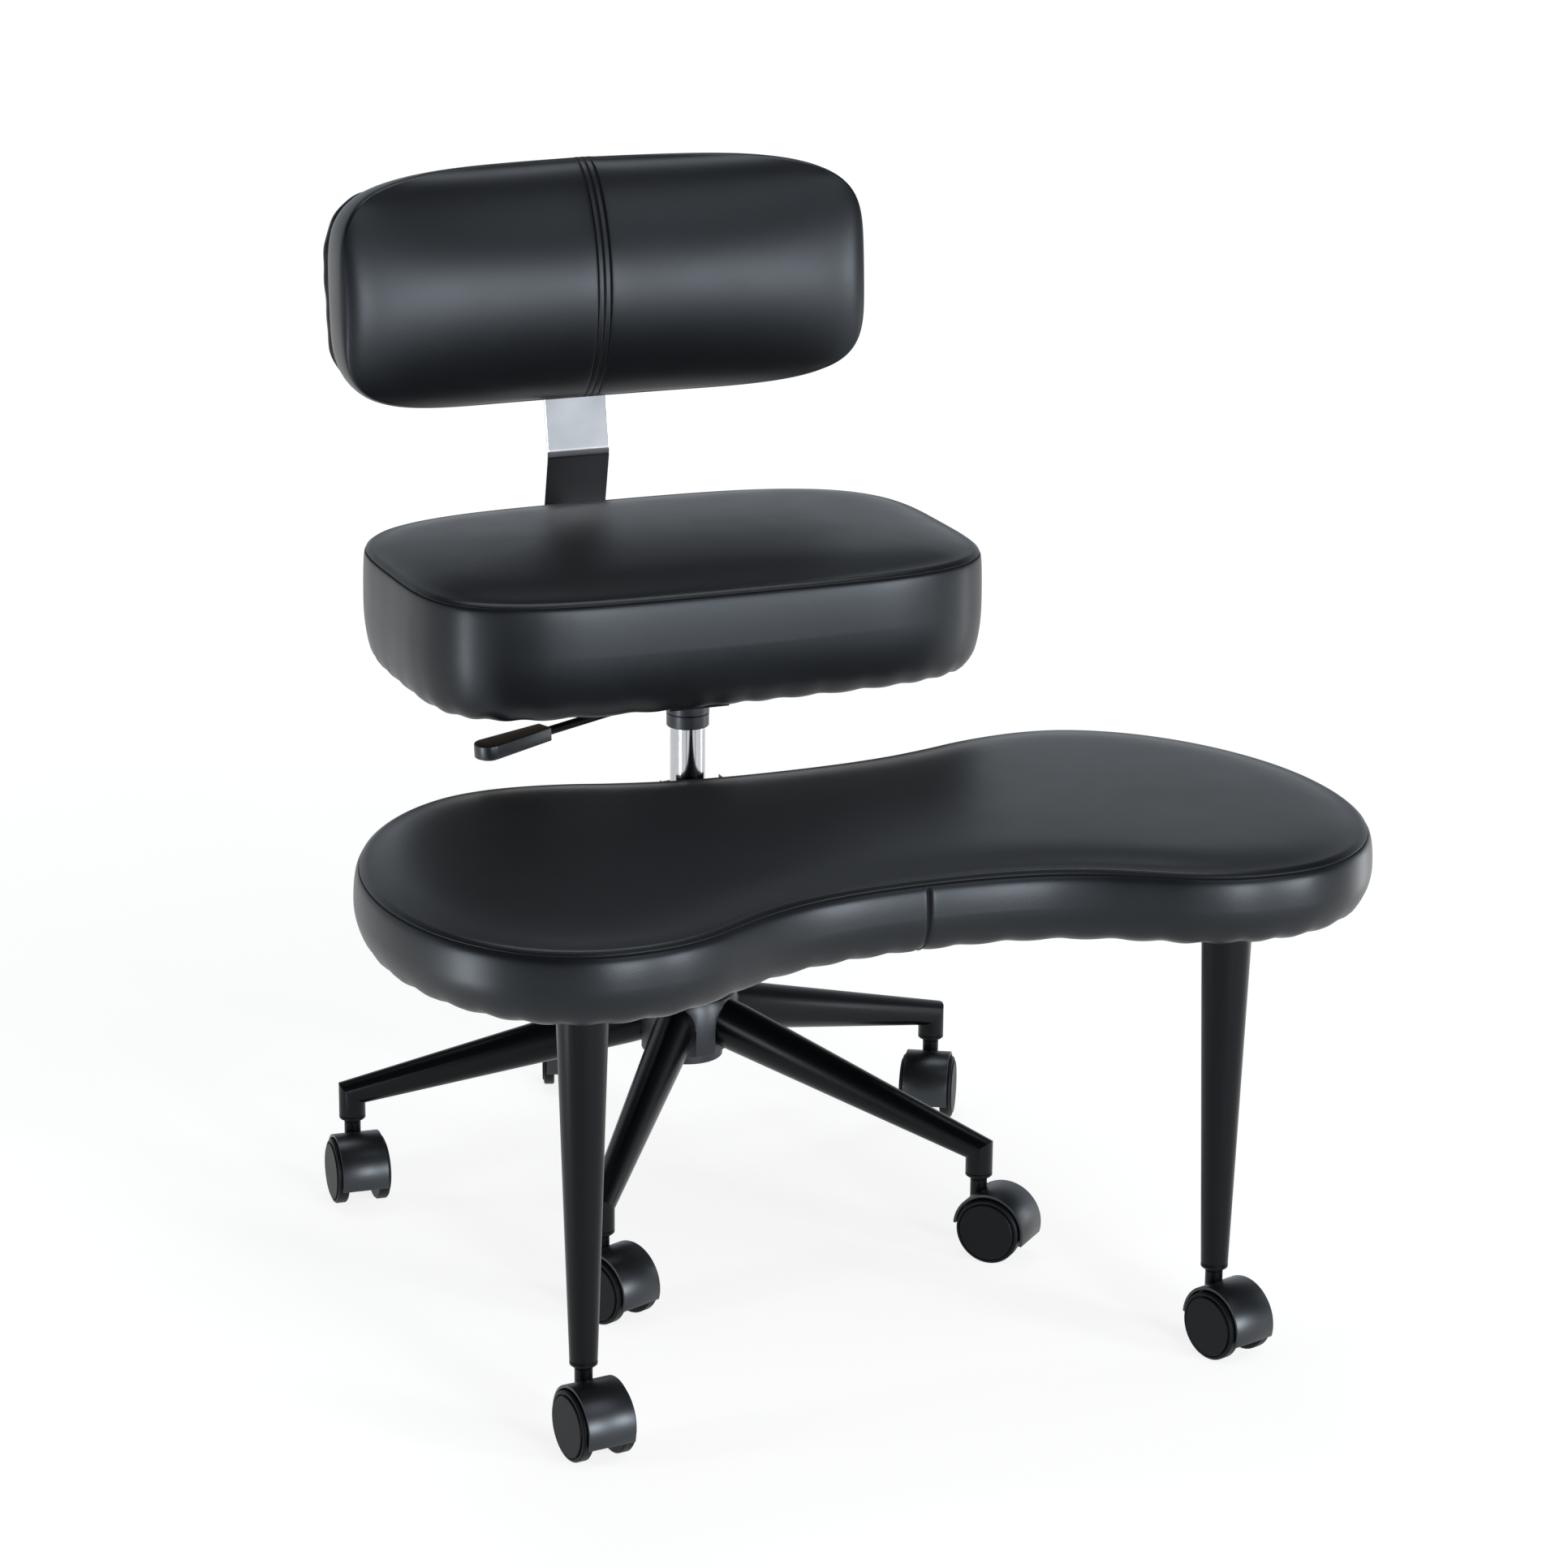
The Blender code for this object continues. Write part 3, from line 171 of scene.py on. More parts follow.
def pattern(tree, kind, scale, stretch=(1.0, 1.0, 1.0), **values):
    """A noise or Voronoi node on Object coordinates, with an optional stretch along the axes."""
    where = added(tree, "TexCoord").outputs["Object"]
    stretched = added(tree, "Mapping", Vector=where, Scale=stretch).outputs["Vector"]
    return added(tree, kind, Vector=stretched, Scale=scale, **values)


def between(tree, source, low, high, start=0.0, end=1.0, eased=False):
    """Map a range of a pattern, 0 to 1 unless others are given, to another range."""
    node = added(tree, "MapRange")
    node.interpolation_type = 'SMOOTHSTEP' if eased else 'LINEAR'
    feed(node, Value=source, From_Min=start, From_Max=end, To_Min=low, To_Max=high)
    return node.outputs["Result"]


def computed(tree, operation, *sources):
    """Put sockets through one Math node."""
    node = added(tree, "Math")
    node.operation = operation
    for socket, source in zip(node.inputs, sources):
        tree.links.new(source, socket)
    return node.outputs["Value"]


def blended(tree, share, one, other):
    """Mix two colours by a pattern; the first may come from a socket."""
    node = added(tree, "Mix")
    node.data_type = 'RGBA'
    feed(node, Factor=share, A=(*one, 1.0) if isinstance(one, tuple) else one, B=(*other, 1.0))
    return node.outputs["Result"]


def bumped(tree, shader, *layers):
    """Chain bump nodes; each layer is (height socket, distance in metres, strength)."""
    below = {}
    for height, distance, strength in layers:
        node = added(tree, "Bump", Height=height, Distance=distance, Strength=strength, **below)
        below = {"Normal": node.outputs["Normal"]}
    feed(shader, **below)


# %% [markdown]
# ### Leather
# The upholstery is smooth coated leather: almost black, with a soft sheen and a pebble grain that
# only shows close up. Seams carry painted shade: the eye looks into a fold there, and the finish
# paints that shade in as a near-black, dull colour. The pads carry a point attribute called seam,
# 1 in a fold and 0 elsewhere, and the finish darkens by it.

# %% Leather finish
LEATHER = (0.0030, 0.0034, 0.0043)
LEATHER_WORN = (0.0044, 0.0049, 0.0060)
# Painted shade for a fold: a near-black colour and a dull gloss
FOLD_SHADE, FOLD_ROUGHNESS = (0.0004, 0.0004, 0.0005), 0.9


def leather_finish():
    material, tree, shader = new_finish("smooth_leather", LEATHER, specular=0.34)
    clouds = pattern(tree, "TexNoise", 9.0, Detail=3.0)
    pebbles = pattern(tree, "TexVoronoi", 850.0, Randomness=1.0)
    pores = pattern(tree, "TexNoise", 2600.0, Detail=2.0)
    smear = pattern(tree, "TexNoise", 30.0, Detail=4.0)
    fold = added(tree, "Attribute")
    fold.attribute_name = "seam"
    hide = blended(tree, clouds.outputs["Fac"], LEATHER, LEATHER_WORN)
    gloss = between(tree, smear.outputs["Fac"], 0.35, 0.41)
    dull = added(tree, "Mix", Factor=fold.outputs["Fac"], A=gloss, B=FOLD_ROUGHNESS)
    # Painted shade: the colour goes near black where the seam attribute marks a fold
    feed(shader, Base_Color=blended(tree, fold.outputs["Fac"], hide, FOLD_SHADE),
         Roughness=dull.outputs["Result"])
    bumped(tree, shader, (pebbles.outputs["Distance"], 0.00012, 0.16),
           (pores.outputs["Fac"], 0.00004, 0.25))
    return material


leather = leather_finish()
print("finish:", leather.name, "with", len(leather.node_tree.nodes), "nodes")

# %% [markdown]
# ### Paint, plastic and metal
# The tubes are powder coated: satin, with a faint orange-peel ripple. The casters and the lever's
# grip are moulded plastic with a fine spark-eroded texture. The lift's cylinder and the strip that
# carries the back are polished. One function makes the painted and moulded finishes, because they
# differ only in their numbers.

# %% Satin, moulded and polished finishes
def textured_finish(name, colour, rough, ripple_scale, ripple, metallic=0.0, specular=0.5):
    """A plain colour whose gloss varies a little and whose surface has a fine ripple."""
    material, tree, shader = new_finish(name, colour, metallic, specular)
    cloud = pattern(tree, "TexNoise", 40.0, Detail=3.0).outputs["Fac"]
    grain = pattern(tree, "TexNoise", ripple_scale, Detail=3.0).outputs["Fac"]
    paler = tuple(1.18 * part for part in colour)
    feed(shader, Base_Color=blended(tree, cloud, colour, paler),
         Roughness=between(tree, cloud, *rough))
    bumped(tree, shader, (grain, ripple, 0.3))
    return material


satin_paint = textured_finish("satin_paint", (0.0014, 0.0016, 0.0020), (0.28, 0.34), 500.0,
                              0.000003, specular=0.18)
moulding = textured_finish("moulded_plastic", (0.0030, 0.0033, 0.0040), (0.34, 0.40), 2400.0,
                           0.00004, specular=0.65)
wheel_plastic = textured_finish("wheel_plastic", (0.0040, 0.0044, 0.0052), (0.42, 0.50), 2000.0,
                                0.00003, specular=0.14)
guide_plastic = textured_finish("guide_plastic", (0.05, 0.05, 0.054), (0.45, 0.55), 1800.0, 0.00003)
bare_steel = textured_finish("turned_steel", (0.42, 0.42, 0.43), (0.28, 0.40), 900.0, 0.00002, 1.0)
chrome = textured_finish("chrome_plate", (0.46, 0.47, 0.49), (0.12, 0.16), 500.0, 0.000004, 1.0)
strip_polish = textured_finish("polished_strip", (0.84, 0.845, 0.86), (0.09, 0.13), 400.0,
                               0.000004, 1.0)
print("finishes:", ", ".join(finish.name for finish in bpy.data.materials))


# %% Plywood finish for the boards under the pads
def plywood_finish():
    material, tree, shader = new_finish("board_plywood", (0.40, 0.28, 0.16))
    grain = pattern(tree, "TexNoise", 30.0, stretch=(1.0, 14.0, 14.0), Detail=6.0).outputs["Fac"]
    feed(shader, Base_Color=blended(tree, grain, (0.24, 0.17, 0.10), (0.13, 0.085, 0.05)),
         Roughness=between(tree, grain, 0.62, 0.78))
    bumped(tree, shader, (grain, 0.0002, 0.3))
    return material


plywood = plywood_finish()
print("finish:", plywood.name)

# %% [markdown]
# ## Casters
# A twin-wheel caster is a hood, two half wheels on one axle, and a neck that swivels in the socket
# above. The axle trails behind the neck, so the wheel follows when the chair rolls. All seven are
# alike: each part is modelled once in the caster's own frame, with the neck on the Z axis and the
# axle along X, and then set where the joints of that caster say.

# %% Caster sizes, read from the frame
axle_1 = Vector(joints["caster_1_left_spin"]["pos_m"])
neck_1 = Vector(joints["caster_1_swivel"]["pos_m"])
WHEEL_RADIUS = axle_1.z
TRAIL = (axle_1 - neck_1).to_2d().length
HOOD_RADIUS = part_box("caster_1_hood")[1].z - axle_1.z
SOCKET_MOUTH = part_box("base_arm_1")[0].z
WHEEL_INNER, WHEEL_OUTER = 0.0124, 0.0224
HOOD_WIDTH, HOOD_WALL = 0.037, 0.0023
WEB_WIDTH, AXLE_ROOM = 0.0238, 0.0042
HOOD_START, HOOD_END = radians(4.0), radians(197.0)
NECK_RADIUS, PIN_RADIUS = 0.0066, 0.0055
print(f"caster: wheel {2000 * WHEEL_RADIUS:.0f} mm, trail {1000 * TRAIL:.1f} mm")


# %% The caster's parts
def wheel_half(side):
    """Half of the wheel: a tread, a shadow groove and a raised disc on the outside."""
    tread, face = WHEEL_RADIUS, WHEEL_OUTER
    profile = ((0.0, WHEEL_INNER), (tread - 0.0010, WHEEL_INNER), (tread, WHEEL_INNER + 0.0010),
               (tread, face - 0.0024), (tread - 0.0009, face - 0.0013), (tread - 0.0024, face - 0.0011),
               (tread - 0.0027, face - 0.0026), (tread - 0.0034, face - 0.0026),
               (tread - 0.0036, face - 0.0005), (tread - 0.0041, face), (0.0, face))
    bm = bmesh.new()
    turn(bm, profile, 80)
    axle_place = Matrix.Translation((0.0, -TRAIL, WHEEL_RADIUS))
    return moved(bm, axle_place @ Matrix.Rotation(side * pi / 2, 4, 'Y'))


def hood():
    """Shell over both wheels and a web between them: one T-shaped section, spun round the axle."""
    lip, web, inner = HOOD_WIDTH / 2, WEB_WIDTH / 2, HOOD_RADIUS - HOOD_WALL
    section = ((-lip, inner), (-lip, HOOD_RADIUS), (lip, HOOD_RADIUS), (lip, inner), (web, inner),
               (web, AXLE_ROOM), (-web, AXLE_ROOM), (-web, inner))
    bm = bmesh.new()
    axle = Vector((0.0, -TRAIL, WHEEL_RADIUS))
    along = Vector((0.0, cos(HOOD_START), sin(HOOD_START)))
    verts = [bm.verts.new(axle + along * radius + Vector((x, 0, 0))) for x, radius in section]
    edges = [bm.edges.new(pair) for pair in zip(verts, verts[1:] + verts[:1])]
    bmesh.ops.spin(bm, geom=verts + edges, axis=(1, 0, 0), cent=axle, angle=HOOD_END - HOOD_START,
                   steps=44)
    bmesh.ops.holes_fill(bm, edges=[edge for edge in bm.edges if edge.is_boundary])
    bmesh.ops.recalc_face_normals(bm, faces=bm.faces)
    soften(bm, 0.0005, 2, 40.0)
    return bm


def neck():
    """Neck with a thin ring under the socket, and the pin that goes into it."""
    top = SOCKET_MOUTH - 0.0003
    foot = WHEEL_RADIUS + HOOD_RADIUS - 0.022
    groove = NECK_RADIUS - 0.0008
    profile = ((0.0, top + 0.012), (PIN_RADIUS, top + 0.012), (PIN_RADIUS, top),
               (NECK_RADIUS - 0.0004, top), (NECK_RADIUS, top - 0.0004), (NECK_RADIUS, top - 0.0013),
               (groove, top - 0.0017), (groove, top - 0.0021), (NECK_RADIUS, top - 0.0026),
               (NECK_RADIUS, foot), (0.0, foot))
    bm = bmesh.new()
    turn(bm, profile, 48)
    return bm


# %% Set the seven casters
for number in range(1, 8):
    name = f"caster_{number}"
    foot = Vector(joints[f"{name}_swivel"]["pos_m"]).to_2d().to_3d()
    trail = Vector(joints[f"{name}_left_spin"]["pos_m"]) - foot
    stand = Matrix.Translation(foot) @ Matrix.Rotation(atan2(trail.x, -trail.y), 4, 'Z')
    for side, word in ((1, "left"), (-1, "right")):
        wheel = linked(moved(wheel_half(side), stand), f"{name}_{word}_tread", wheel_plastic)
        dress(wheel, f"{name}_wheel_{word}")
    dress(linked(moved(hood(), stand), f"{name}_shell", moulding), f"{name}_hood")
    dress(linked(moved(neck(), stand), f"{name}_neck", satin_paint), f"{name}_stem")
print("casters set: 7, each with two wheels, a hood and a neck")

# %% [markdown]
# ## Five-arm base
# Each arm is a tapered steel tube, oval where it enters the hub and round at its end, where it is
# mitred to an upright socket for the caster. The mitre is one oblique ring that both tubes share,
# so the corner closes without a Boolean. The tube grows from an oval: `extrude_edge_only` copies
# its ring of edges, and each copy is laid out on the next section.

# %% Grow an arm from an oval
ARM_REACH = (neck_1.to_2d().to_3d() - column).length
MITRE_RISE, ARM_RISE = 0.0215, 0.0600
ROOT_WIDTH, ROOT_HEIGHT = 0.0336, 0.0400
ROOT_REACH, ROOT_STRAIGHT, FACE_REACH = 0.0348, 0.014, 0.0415
SOCKET_RADIUS, SOCKET_BORE, EDGE = 0.01065, 0.0058, 0.0008
ARM_SLOPE = atan2(ARM_RISE, ARM_REACH - FACE_REACH)
ARM_ALONG = Vector((cos(ARM_SLOPE), 0.0, -sin(ARM_SLOPE)))
ARM_UP = Vector((sin(ARM_SLOPE), 0.0, cos(ARM_SLOPE)))
MITRE = Vector((ARM_REACH, 0.0, SOCKET_MOUTH + MITRE_RISE))
SOCKET_STEPS = ((0.0034, SOCKET_RADIUS), (0.0030, SOCKET_RADIUS - 0.0004), (0.0026, SOCKET_RADIUS),
                (EDGE, SOCKET_RADIUS), (0.0, SOCKET_RADIUS - EDGE), (0.0, SOCKET_BORE),
                (0.012, SOCKET_BORE))


def skinned(rings):
    """Close the first ring of places, extrude the others from it in order and close the last."""
    bm = bmesh.new()
    order = bm.verts.layers.int.new("order")
    verts = [bm.verts.new(place) for place in rings[0]]
    for number, vert in enumerate(verts):
        vert[order] = number
    loop = [bm.edges.new(pair) for pair in zip(verts, verts[1:] + verts[:1])]
    bmesh.ops.triangle_fill(bm, edges=loop, use_beauty=True)
    for places in rings[1:]:
        grown = bmesh.ops.extrude_edge_only(bm, edges=loop)["geom"]
        for vert in (item for item in grown if isinstance(item, bmesh.types.BMVert)):
            vert.co = places[vert[order]]
        loop = [item for item in grown if isinstance(item, bmesh.types.BMEdge)]
    bmesh.ops.triangle_fill(bm, edges=loop, use_beauty=True)
    bmesh.ops.recalc_face_normals(bm, faces=bm.faces)
    return bm


def on_arm(reach, up, side):
    """A point at a reach from the column, off the arm's middle line by two amounts."""
    middle = MITRE - ARM_ALONG * ((ARM_REACH - reach) / cos(ARM_SLOPE))
    return middle + ARM_UP * up + Vector((0.0, side, 0.0))


def arm_tube(sides=56):
    angles = [tau * k / sides for k in range(sides)]

    def oval(reach, inset):
        high, wide = ROOT_HEIGHT / 2 - inset, ROOT_WIDTH / 2 - inset
        return [on_arm(reach, high * cos(a), wide * sin(a)) for a in angles]

    def upright(height, radius):
        return [Vector((ARM_REACH + radius * cos(a), radius * sin(a), SOCKET_MOUTH + height))
                for a in angles]

    fold = ARM_ALONG + Vector((0.0, 0.0, -1.0))
    mitre = [p - Vector((0.0, 0.0, (p - MITRE).dot(fold) / fold.z))
             for p in upright(MITRE_RISE, SOCKET_RADIUS)]
    return skinned([oval(ROOT_REACH, EDGE), oval(ROOT_REACH + EDGE, 0.0),
                    oval(ROOT_REACH + ROOT_STRAIGHT, 0.0), mitre,
                    *(upright(height, radius) for height, radius in SOCKET_STEPS)])


def stood_at(heading):
    """Turn a piece from the X axis to a heading round the column."""
    return Matrix.Translation(column) @ Matrix.Rotation(heading, 4, 'Z')


arm_headings = []
for number in range(1, 6):
    foot = Vector(joints[f"caster_{number}_swivel"]["pos_m"]) - column
    arm_headings.append(atan2(foot.y, foot.x))
    tube = linked(moved(arm_tube(), stood_at(arm_headings[-1])), f"arm_{number}_tube", satin_paint)
    dress(tube, f"base_arm_{number}")
print("arms at", [round(heading * 180 / pi) for heading in arm_headings], "degrees")

# %% [markdown]
# ## Hub
# The hub is a plastic moulding: a turned body with an oval socket for each arm, cut away below the
# arms so that five webs hang between them. Here the Boolean is the right tool, because the sockets
# meet the turned body at odd angles. A live Bevel then rounds what the cuts left sharp.

# %% Turn the hub and cut its sockets
hub_low, hub_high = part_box("base_hub")
HUB_CORE, HUB_RIM, HUB_BORE = 0.0335, 0.0290, 0.0253
RIM_HEIGHT, WEB_CHAMFER, HUB_SHOULDER = 0.009, 0.004, 0.007
HUB_FLOOR_BORE, HUB_FLOOR = 0.0231, 0.0036
SOCKET_START, SOCKET_ROOM = 0.0345, 0.0008
SOCKET_END = 2 * FACE_REACH


def oval_plug():
    """The space that an arm takes in the hub."""
    high, wide = ROOT_HEIGHT / 2 + SOCKET_ROOM, ROOT_WIDTH / 2 + SOCKET_ROOM
    bm = bmesh.new()
    bmesh.ops.create_cone(bm, cap_ends=True, segments=48, radius1=1.0, radius2=1.0, depth=1.0)
    for vert in bm.verts:
        x, y, z = vert.co
        vert.co = on_arm(SOCKET_START if z < 0 else SOCKET_END, high * x, wide * y)
    bmesh.ops.recalc_face_normals(bm, faces=bm.faces)
    return bm


def under_slot():
    """The space below an arm, between two webs."""
    long, tall, top = SOCKET_END - HUB_CORE, 0.1, MITRE.z + ARM_RISE
    bm = bmesh.new()
    bmesh.ops.create_cube(bm, size=1.0)
    bmesh.ops.scale(bm, vec=(long, ROOT_WIDTH + SOCKET_ROOM, tall), verts=bm.verts)
    bmesh.ops.translate(bm, vec=(HUB_CORE + long / 2, 0.0, top - tall / 2), verts=bm.verts)
    return bm


def carved(obj, cutters):
    """Cut each cutter out of an object, keep the result and remove the cutters."""
    for cutter in cutters:
        tool = obj.modifiers.new("cut", 'BOOLEAN')
        tool.object = cutter
        tool.solver = 'EXACT'
    bpy.context.view_layer.update()
    graph = bpy.context.evaluated_depsgraph_get()
    mesh = bpy.data.meshes.new_from_object(obj.evaluated_get(graph))
    obj.modifiers.clear()
    obj.data = mesh
    for cutter in cutters:
        bpy.data.objects.remove(cutter)


radius, floor, top = hub_high.x - column.x, hub_low.z, hub_high.z
web = floor + RIM_HEIGHT
bm = bmesh.new()
turn(bm, ((HUB_FLOOR_BORE, floor), (HUB_RIM - EDGE, floor), (HUB_RIM, floor + EDGE),
          (HUB_RIM, web - EDGE), (HUB_CORE, web), (radius - WEB_CHAMFER, web),
          (radius - 0.3 * WEB_CHAMFER, web + 0.3 * WEB_CHAMFER), (radius, web + WEB_CHAMFER),
          (radius, top - HUB_SHOULDER), (radius - 0.3 * HUB_SHOULDER, top - 0.3 * HUB_SHOULDER),
          (radius - HUB_SHOULDER, top), (HUB_BORE, top), (HUB_BORE, floor + HUB_FLOOR),
          (HUB_FLOOR_BORE, floor + HUB_FLOOR)), 120, closed=True)
hub = linked(moved(bm, Matrix.Translation(column)), "hub_moulding", moulding)
cutters = []
for heading in arm_headings:
    for shape in (oval_plug(), under_slot()):
        cutters.append(linked(moved(shape, stood_at(heading)), "cutter", moulding))
carved(hub, cutters)
hub.data.shade_smooth()
hub.data.set_sharp_from_angle(angle=radians(30.0))
edge_round = hub.modifiers.new("rounded_edges", 'BEVEL')
edge_round.width, edge_round.segments = 0.0007, 2
edge_round.limit_method, edge_round.angle_limit = 'ANGLE', radians(40.0)
dress(hub, "base_hub")
print("hub:", len(hub.data.polygons), "faces after", len(arm_headings), "sockets")

# %% [markdown]
# ## Column, cylinder and collar
# The gas lift is a painted outer tube in the hub, a plastic guide in its mouth and a bright cylinder
# that slides in it. Chrome shows every facet, so these are turned again with many segments. The
# collar is the moulded end of the socket under the seat: the photo shows one ring line round it. The
# photo's platform hides the tube's mouth, so the mouth is dropped until it hides here too.

# %% Turn the gas lift
def around_column(profile, name, finish, node, shown=False):
    bm = bmesh.new()
    turn(bm, profile, 96, closed=True)
    return dress(linked(moved(bm, Matrix.Translation(column)), name, finish), node, shown)


MOUTH_DROP = 0.005
TUBE_WALL, TUBE_EDGE = 0.002, 0.0006
GUIDE_RADIUS, ROD_ROOM = 0.0145, 0.0055
COLLAR_RADIUS, COLLAR_HEIGHT, COLLAR_ROOM = 0.0170, 0.0198, 0.0003
tube_low, tube_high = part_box("column_tube")
tube_radius = tube_high.x - column.x
mouth = tube_high.z - MOUTH_DROP
around_column(((tube_radius - TUBE_WALL, tube_low.z), (tube_radius - TUBE_EDGE, tube_low.z),
               (tube_radius, tube_low.z + TUBE_EDGE), (tube_radius, mouth - TUBE_EDGE),
               (tube_radius - TUBE_EDGE, mouth), (tube_radius - TUBE_WALL, mouth)),
              "column_outer", satin_paint, "column_tube")
bush_low, bush_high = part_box("column_bush")
bush_top = bush_high.z - MOUTH_DROP
around_column(((GUIDE_RADIUS, bush_low.z), (tube_radius - 0.0023, bush_low.z),
               (tube_radius - 0.0023, mouth + 0.0003), (tube_radius - 0.0008, mouth + 0.0003),
               (tube_radius - 0.0008, bush_top - 0.0007), (tube_radius - 0.0015, bush_top),
               (GUIDE_RADIUS + 0.001, bush_top), (GUIDE_RADIUS, bush_top - 0.001)),
              "guide_bush", guide_plastic, "column_bush")
lift_low, lift_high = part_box("gas_cylinder")
lift_radius = lift_high.x - column.x
around_column(((ROD_ROOM, lift_low.z), (lift_radius - 0.001, lift_low.z),
               (lift_radius, lift_low.z + 0.001), (lift_radius, lift_high.z),
               (ROD_ROOM, lift_high.z)),
              "lift_cylinder", chrome, "gas_cylinder")
collar_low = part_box("seat_plate")[0].z
collar_profile = [(COLLAR_RADIUS + off, collar_low + up) for off, up in (
    (-0.0006, -0.0002), (0.0, 0.0005), (0.0, 0.0100), (-0.0005, 0.0104), (-0.0005, 0.0108),
    (0.0002, 0.0112), (0.0002, COLLAR_HEIGHT))]
collar_bore = lift_radius + COLLAR_ROOM
around_column(((collar_bore, collar_low - 0.0002), *collar_profile,
               (collar_bore, collar_low + COLLAR_HEIGHT)),
              "socket_collar", moulding, "seat_plate", shown=True)
print(f"gas lift: cylinder {2000 * lift_radius:.0f} mm across, collar from z = {collar_low:.3f} m")

# %% [markdown]
# ## Release lever
# A bent rod comes out under the seat and ends in a flat paddle. The rod is a curve with a round
# bevel, which is Blender's own way to make a wire. The paddle is an outline that is extruded and
# softened, with a round boss under its end; its top stays bare.

# %% Bend the rod
LEVER_ANGLE, LEVER_DROOP = radians(21.0), radians(3.0)
ROD_RADIUS, ROD_SHOW, GRIP_DEPTH = 0.0035, 0.125, 0.0237
pivot = Vector(joints["lever_pivot"]["pos_m"])
lever_out = Vector((-cos(LEVER_ANGLE), -sin(LEVER_ANGLE), -tan(LEVER_DROOP)))
over_valve = Vector((column.x, column.y, pivot.z))
corner = pivot - lever_out * 0.0135
bend_start, bend_end = corner.lerp(over_valve, 0.4), corner + lever_out * 0.007
route = [over_valve, *interpolate_bezier(bend_start, bend_start.lerp(corner, 0.6),
                                         bend_end.lerp(corner, 0.6), bend_end, 10),
         pivot + lever_out * (ROD_SHOW + GRIP_DEPTH)]
wire = bpy.data.curves.new("lever_wire", 'CURVE')
wire.dimensions, wire.use_fill_caps = '3D', True
wire.bevel_depth, wire.bevel_resolution = ROD_RADIUS, 7
spline = wire.splines.new('POLY')
spline.points.add(len(route) - 1)
for knot, place in zip(spline.points, route):
    knot.co = (*place, 1.0)
wire.materials.append(satin_paint)
dress(in_scene("lever_wire", wire), "lever_rod")
print("lever rod:", len(route), "points, grip end at", [round(c, 3) for c in route[-1]])

# %% Shape the paddle
GRIP_LENGTH, GRIP_NECK, GRIP_END, GRIP_HEIGHT = 0.068, 0.015, 0.023, 0.0110
BOSS_RADIUS, BOSS_DEPTH = GRIP_END / 2 - 0.003, GRIP_HEIGHT / 2 + 0.0015
tip, end, neck_half = GRIP_LENGTH - GRIP_END / 2, GRIP_END / 2, GRIP_NECK / 2
turns = [pi * k / 20 - pi / 2 for k in range(21)]
outline = [(0.0, -neck_half), *((tip + end * cos(a), end * sin(a)) for a in turns), (0.0, neck_half)]
grip = bmesh.new()
face = grip.faces.new([grip.verts.new((x, y, -GRIP_HEIGHT / 2)) for x, y in outline])
grown = bmesh.ops.extrude_face_region(grip, geom=[face])["geom"]
raised = [item for item in grown if isinstance(item, bmesh.types.BMVert)]
bmesh.ops.translate(grip, vec=(0, 0, GRIP_HEIGHT), verts=raised)
bmesh.ops.recalc_face_normals(grip, faces=grip.faces)
soften(grip, 0.0009, 3, 40.0)
boss = bmesh.new()
bmesh.ops.create_cone(boss, cap_ends=True, segments=40, radius1=BOSS_RADIUS - 0.0008,
                      radius2=BOSS_RADIUS, depth=BOSS_DEPTH)
bmesh.ops.translate(boss, vec=(tip, 0, -BOSS_DEPTH / 2), verts=boss.verts)
soften(boss, 0.0004, 2, 40.0)
at_grip = (Matrix.Translation(pivot + lever_out * ROD_SHOW)
           @ lever_out.to_track_quat('X', 'Z').to_matrix().to_4x4())
boss_mesh = bpy.data.meshes.new("grip_boss")
boss.to_mesh(boss_mesh)
boss.free()
grip.from_mesh(boss_mesh)
dress(linked(moved(grip, at_grip), "lever_paddle", moulding), "lever_grip")
print(f"paddle: {1000 * GRIP_LENGTH:.0f} mm long")

# %% [markdown]
# ## Legs of the platform
# Each leg is a steel taper with a screw flange at the top and a small step at its foot. It could be a
# cone with parts added to it, but one turned profile keeps all its edges clean.

# %% Turn both legs
LEG_TOP, LEG_FOOT = 0.0190, 0.01025
LEG_FLANGE, FLANGE, ROUND = 0.034, 0.004, 0.001
FOOT_STEPS = ((LEG_FOOT, 0.0042), (LEG_FOOT - 0.0006, 0.0036), (LEG_FOOT - 0.0006, 0.0030),
              (LEG_FOOT, 0.0025), (LEG_FOOT, 0.0006), (LEG_FOOT - 0.0006, 0.0), (SOCKET_BORE, 0.0),
              (SOCKET_BORE, 0.012), (0.0, 0.012))
for word in ("left", "right"):
    low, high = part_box(f"platform_leg_{word}")
    under = high.z - FLANGE
    bm = bmesh.new()
    turn(bm, ((0.0, high.z), (LEG_FLANGE - ROUND, high.z), (LEG_FLANGE, high.z - ROUND),
              (LEG_FLANGE, under + ROUND), (LEG_FLANGE - ROUND, under), (LEG_TOP + 0.003, under),
              (LEG_TOP, under - 0.003), *((radius, low.z + rise) for radius, rise in FOOT_STEPS)), 72)
    middle = Matrix.Translation(((low.x + high.x) / 2, (low.y + high.y) / 2, 0.0))
    dress(linked(moved(bm, middle), f"leg_{word}_taper", satin_paint), f"platform_leg_{word}")
print(f"legs: {2000 * LEG_TOP:.0f} mm at the top, {2000 * LEG_FOOT:.1f} mm at the foot")

# %% [markdown]
# ## Back bracket
# The strip is flat steel, bent twice. The solid has the right bends, so a merged copy of it is
# enough: dissolving its flat triangles leaves clean faces, and a bevel breaks the cut edges.

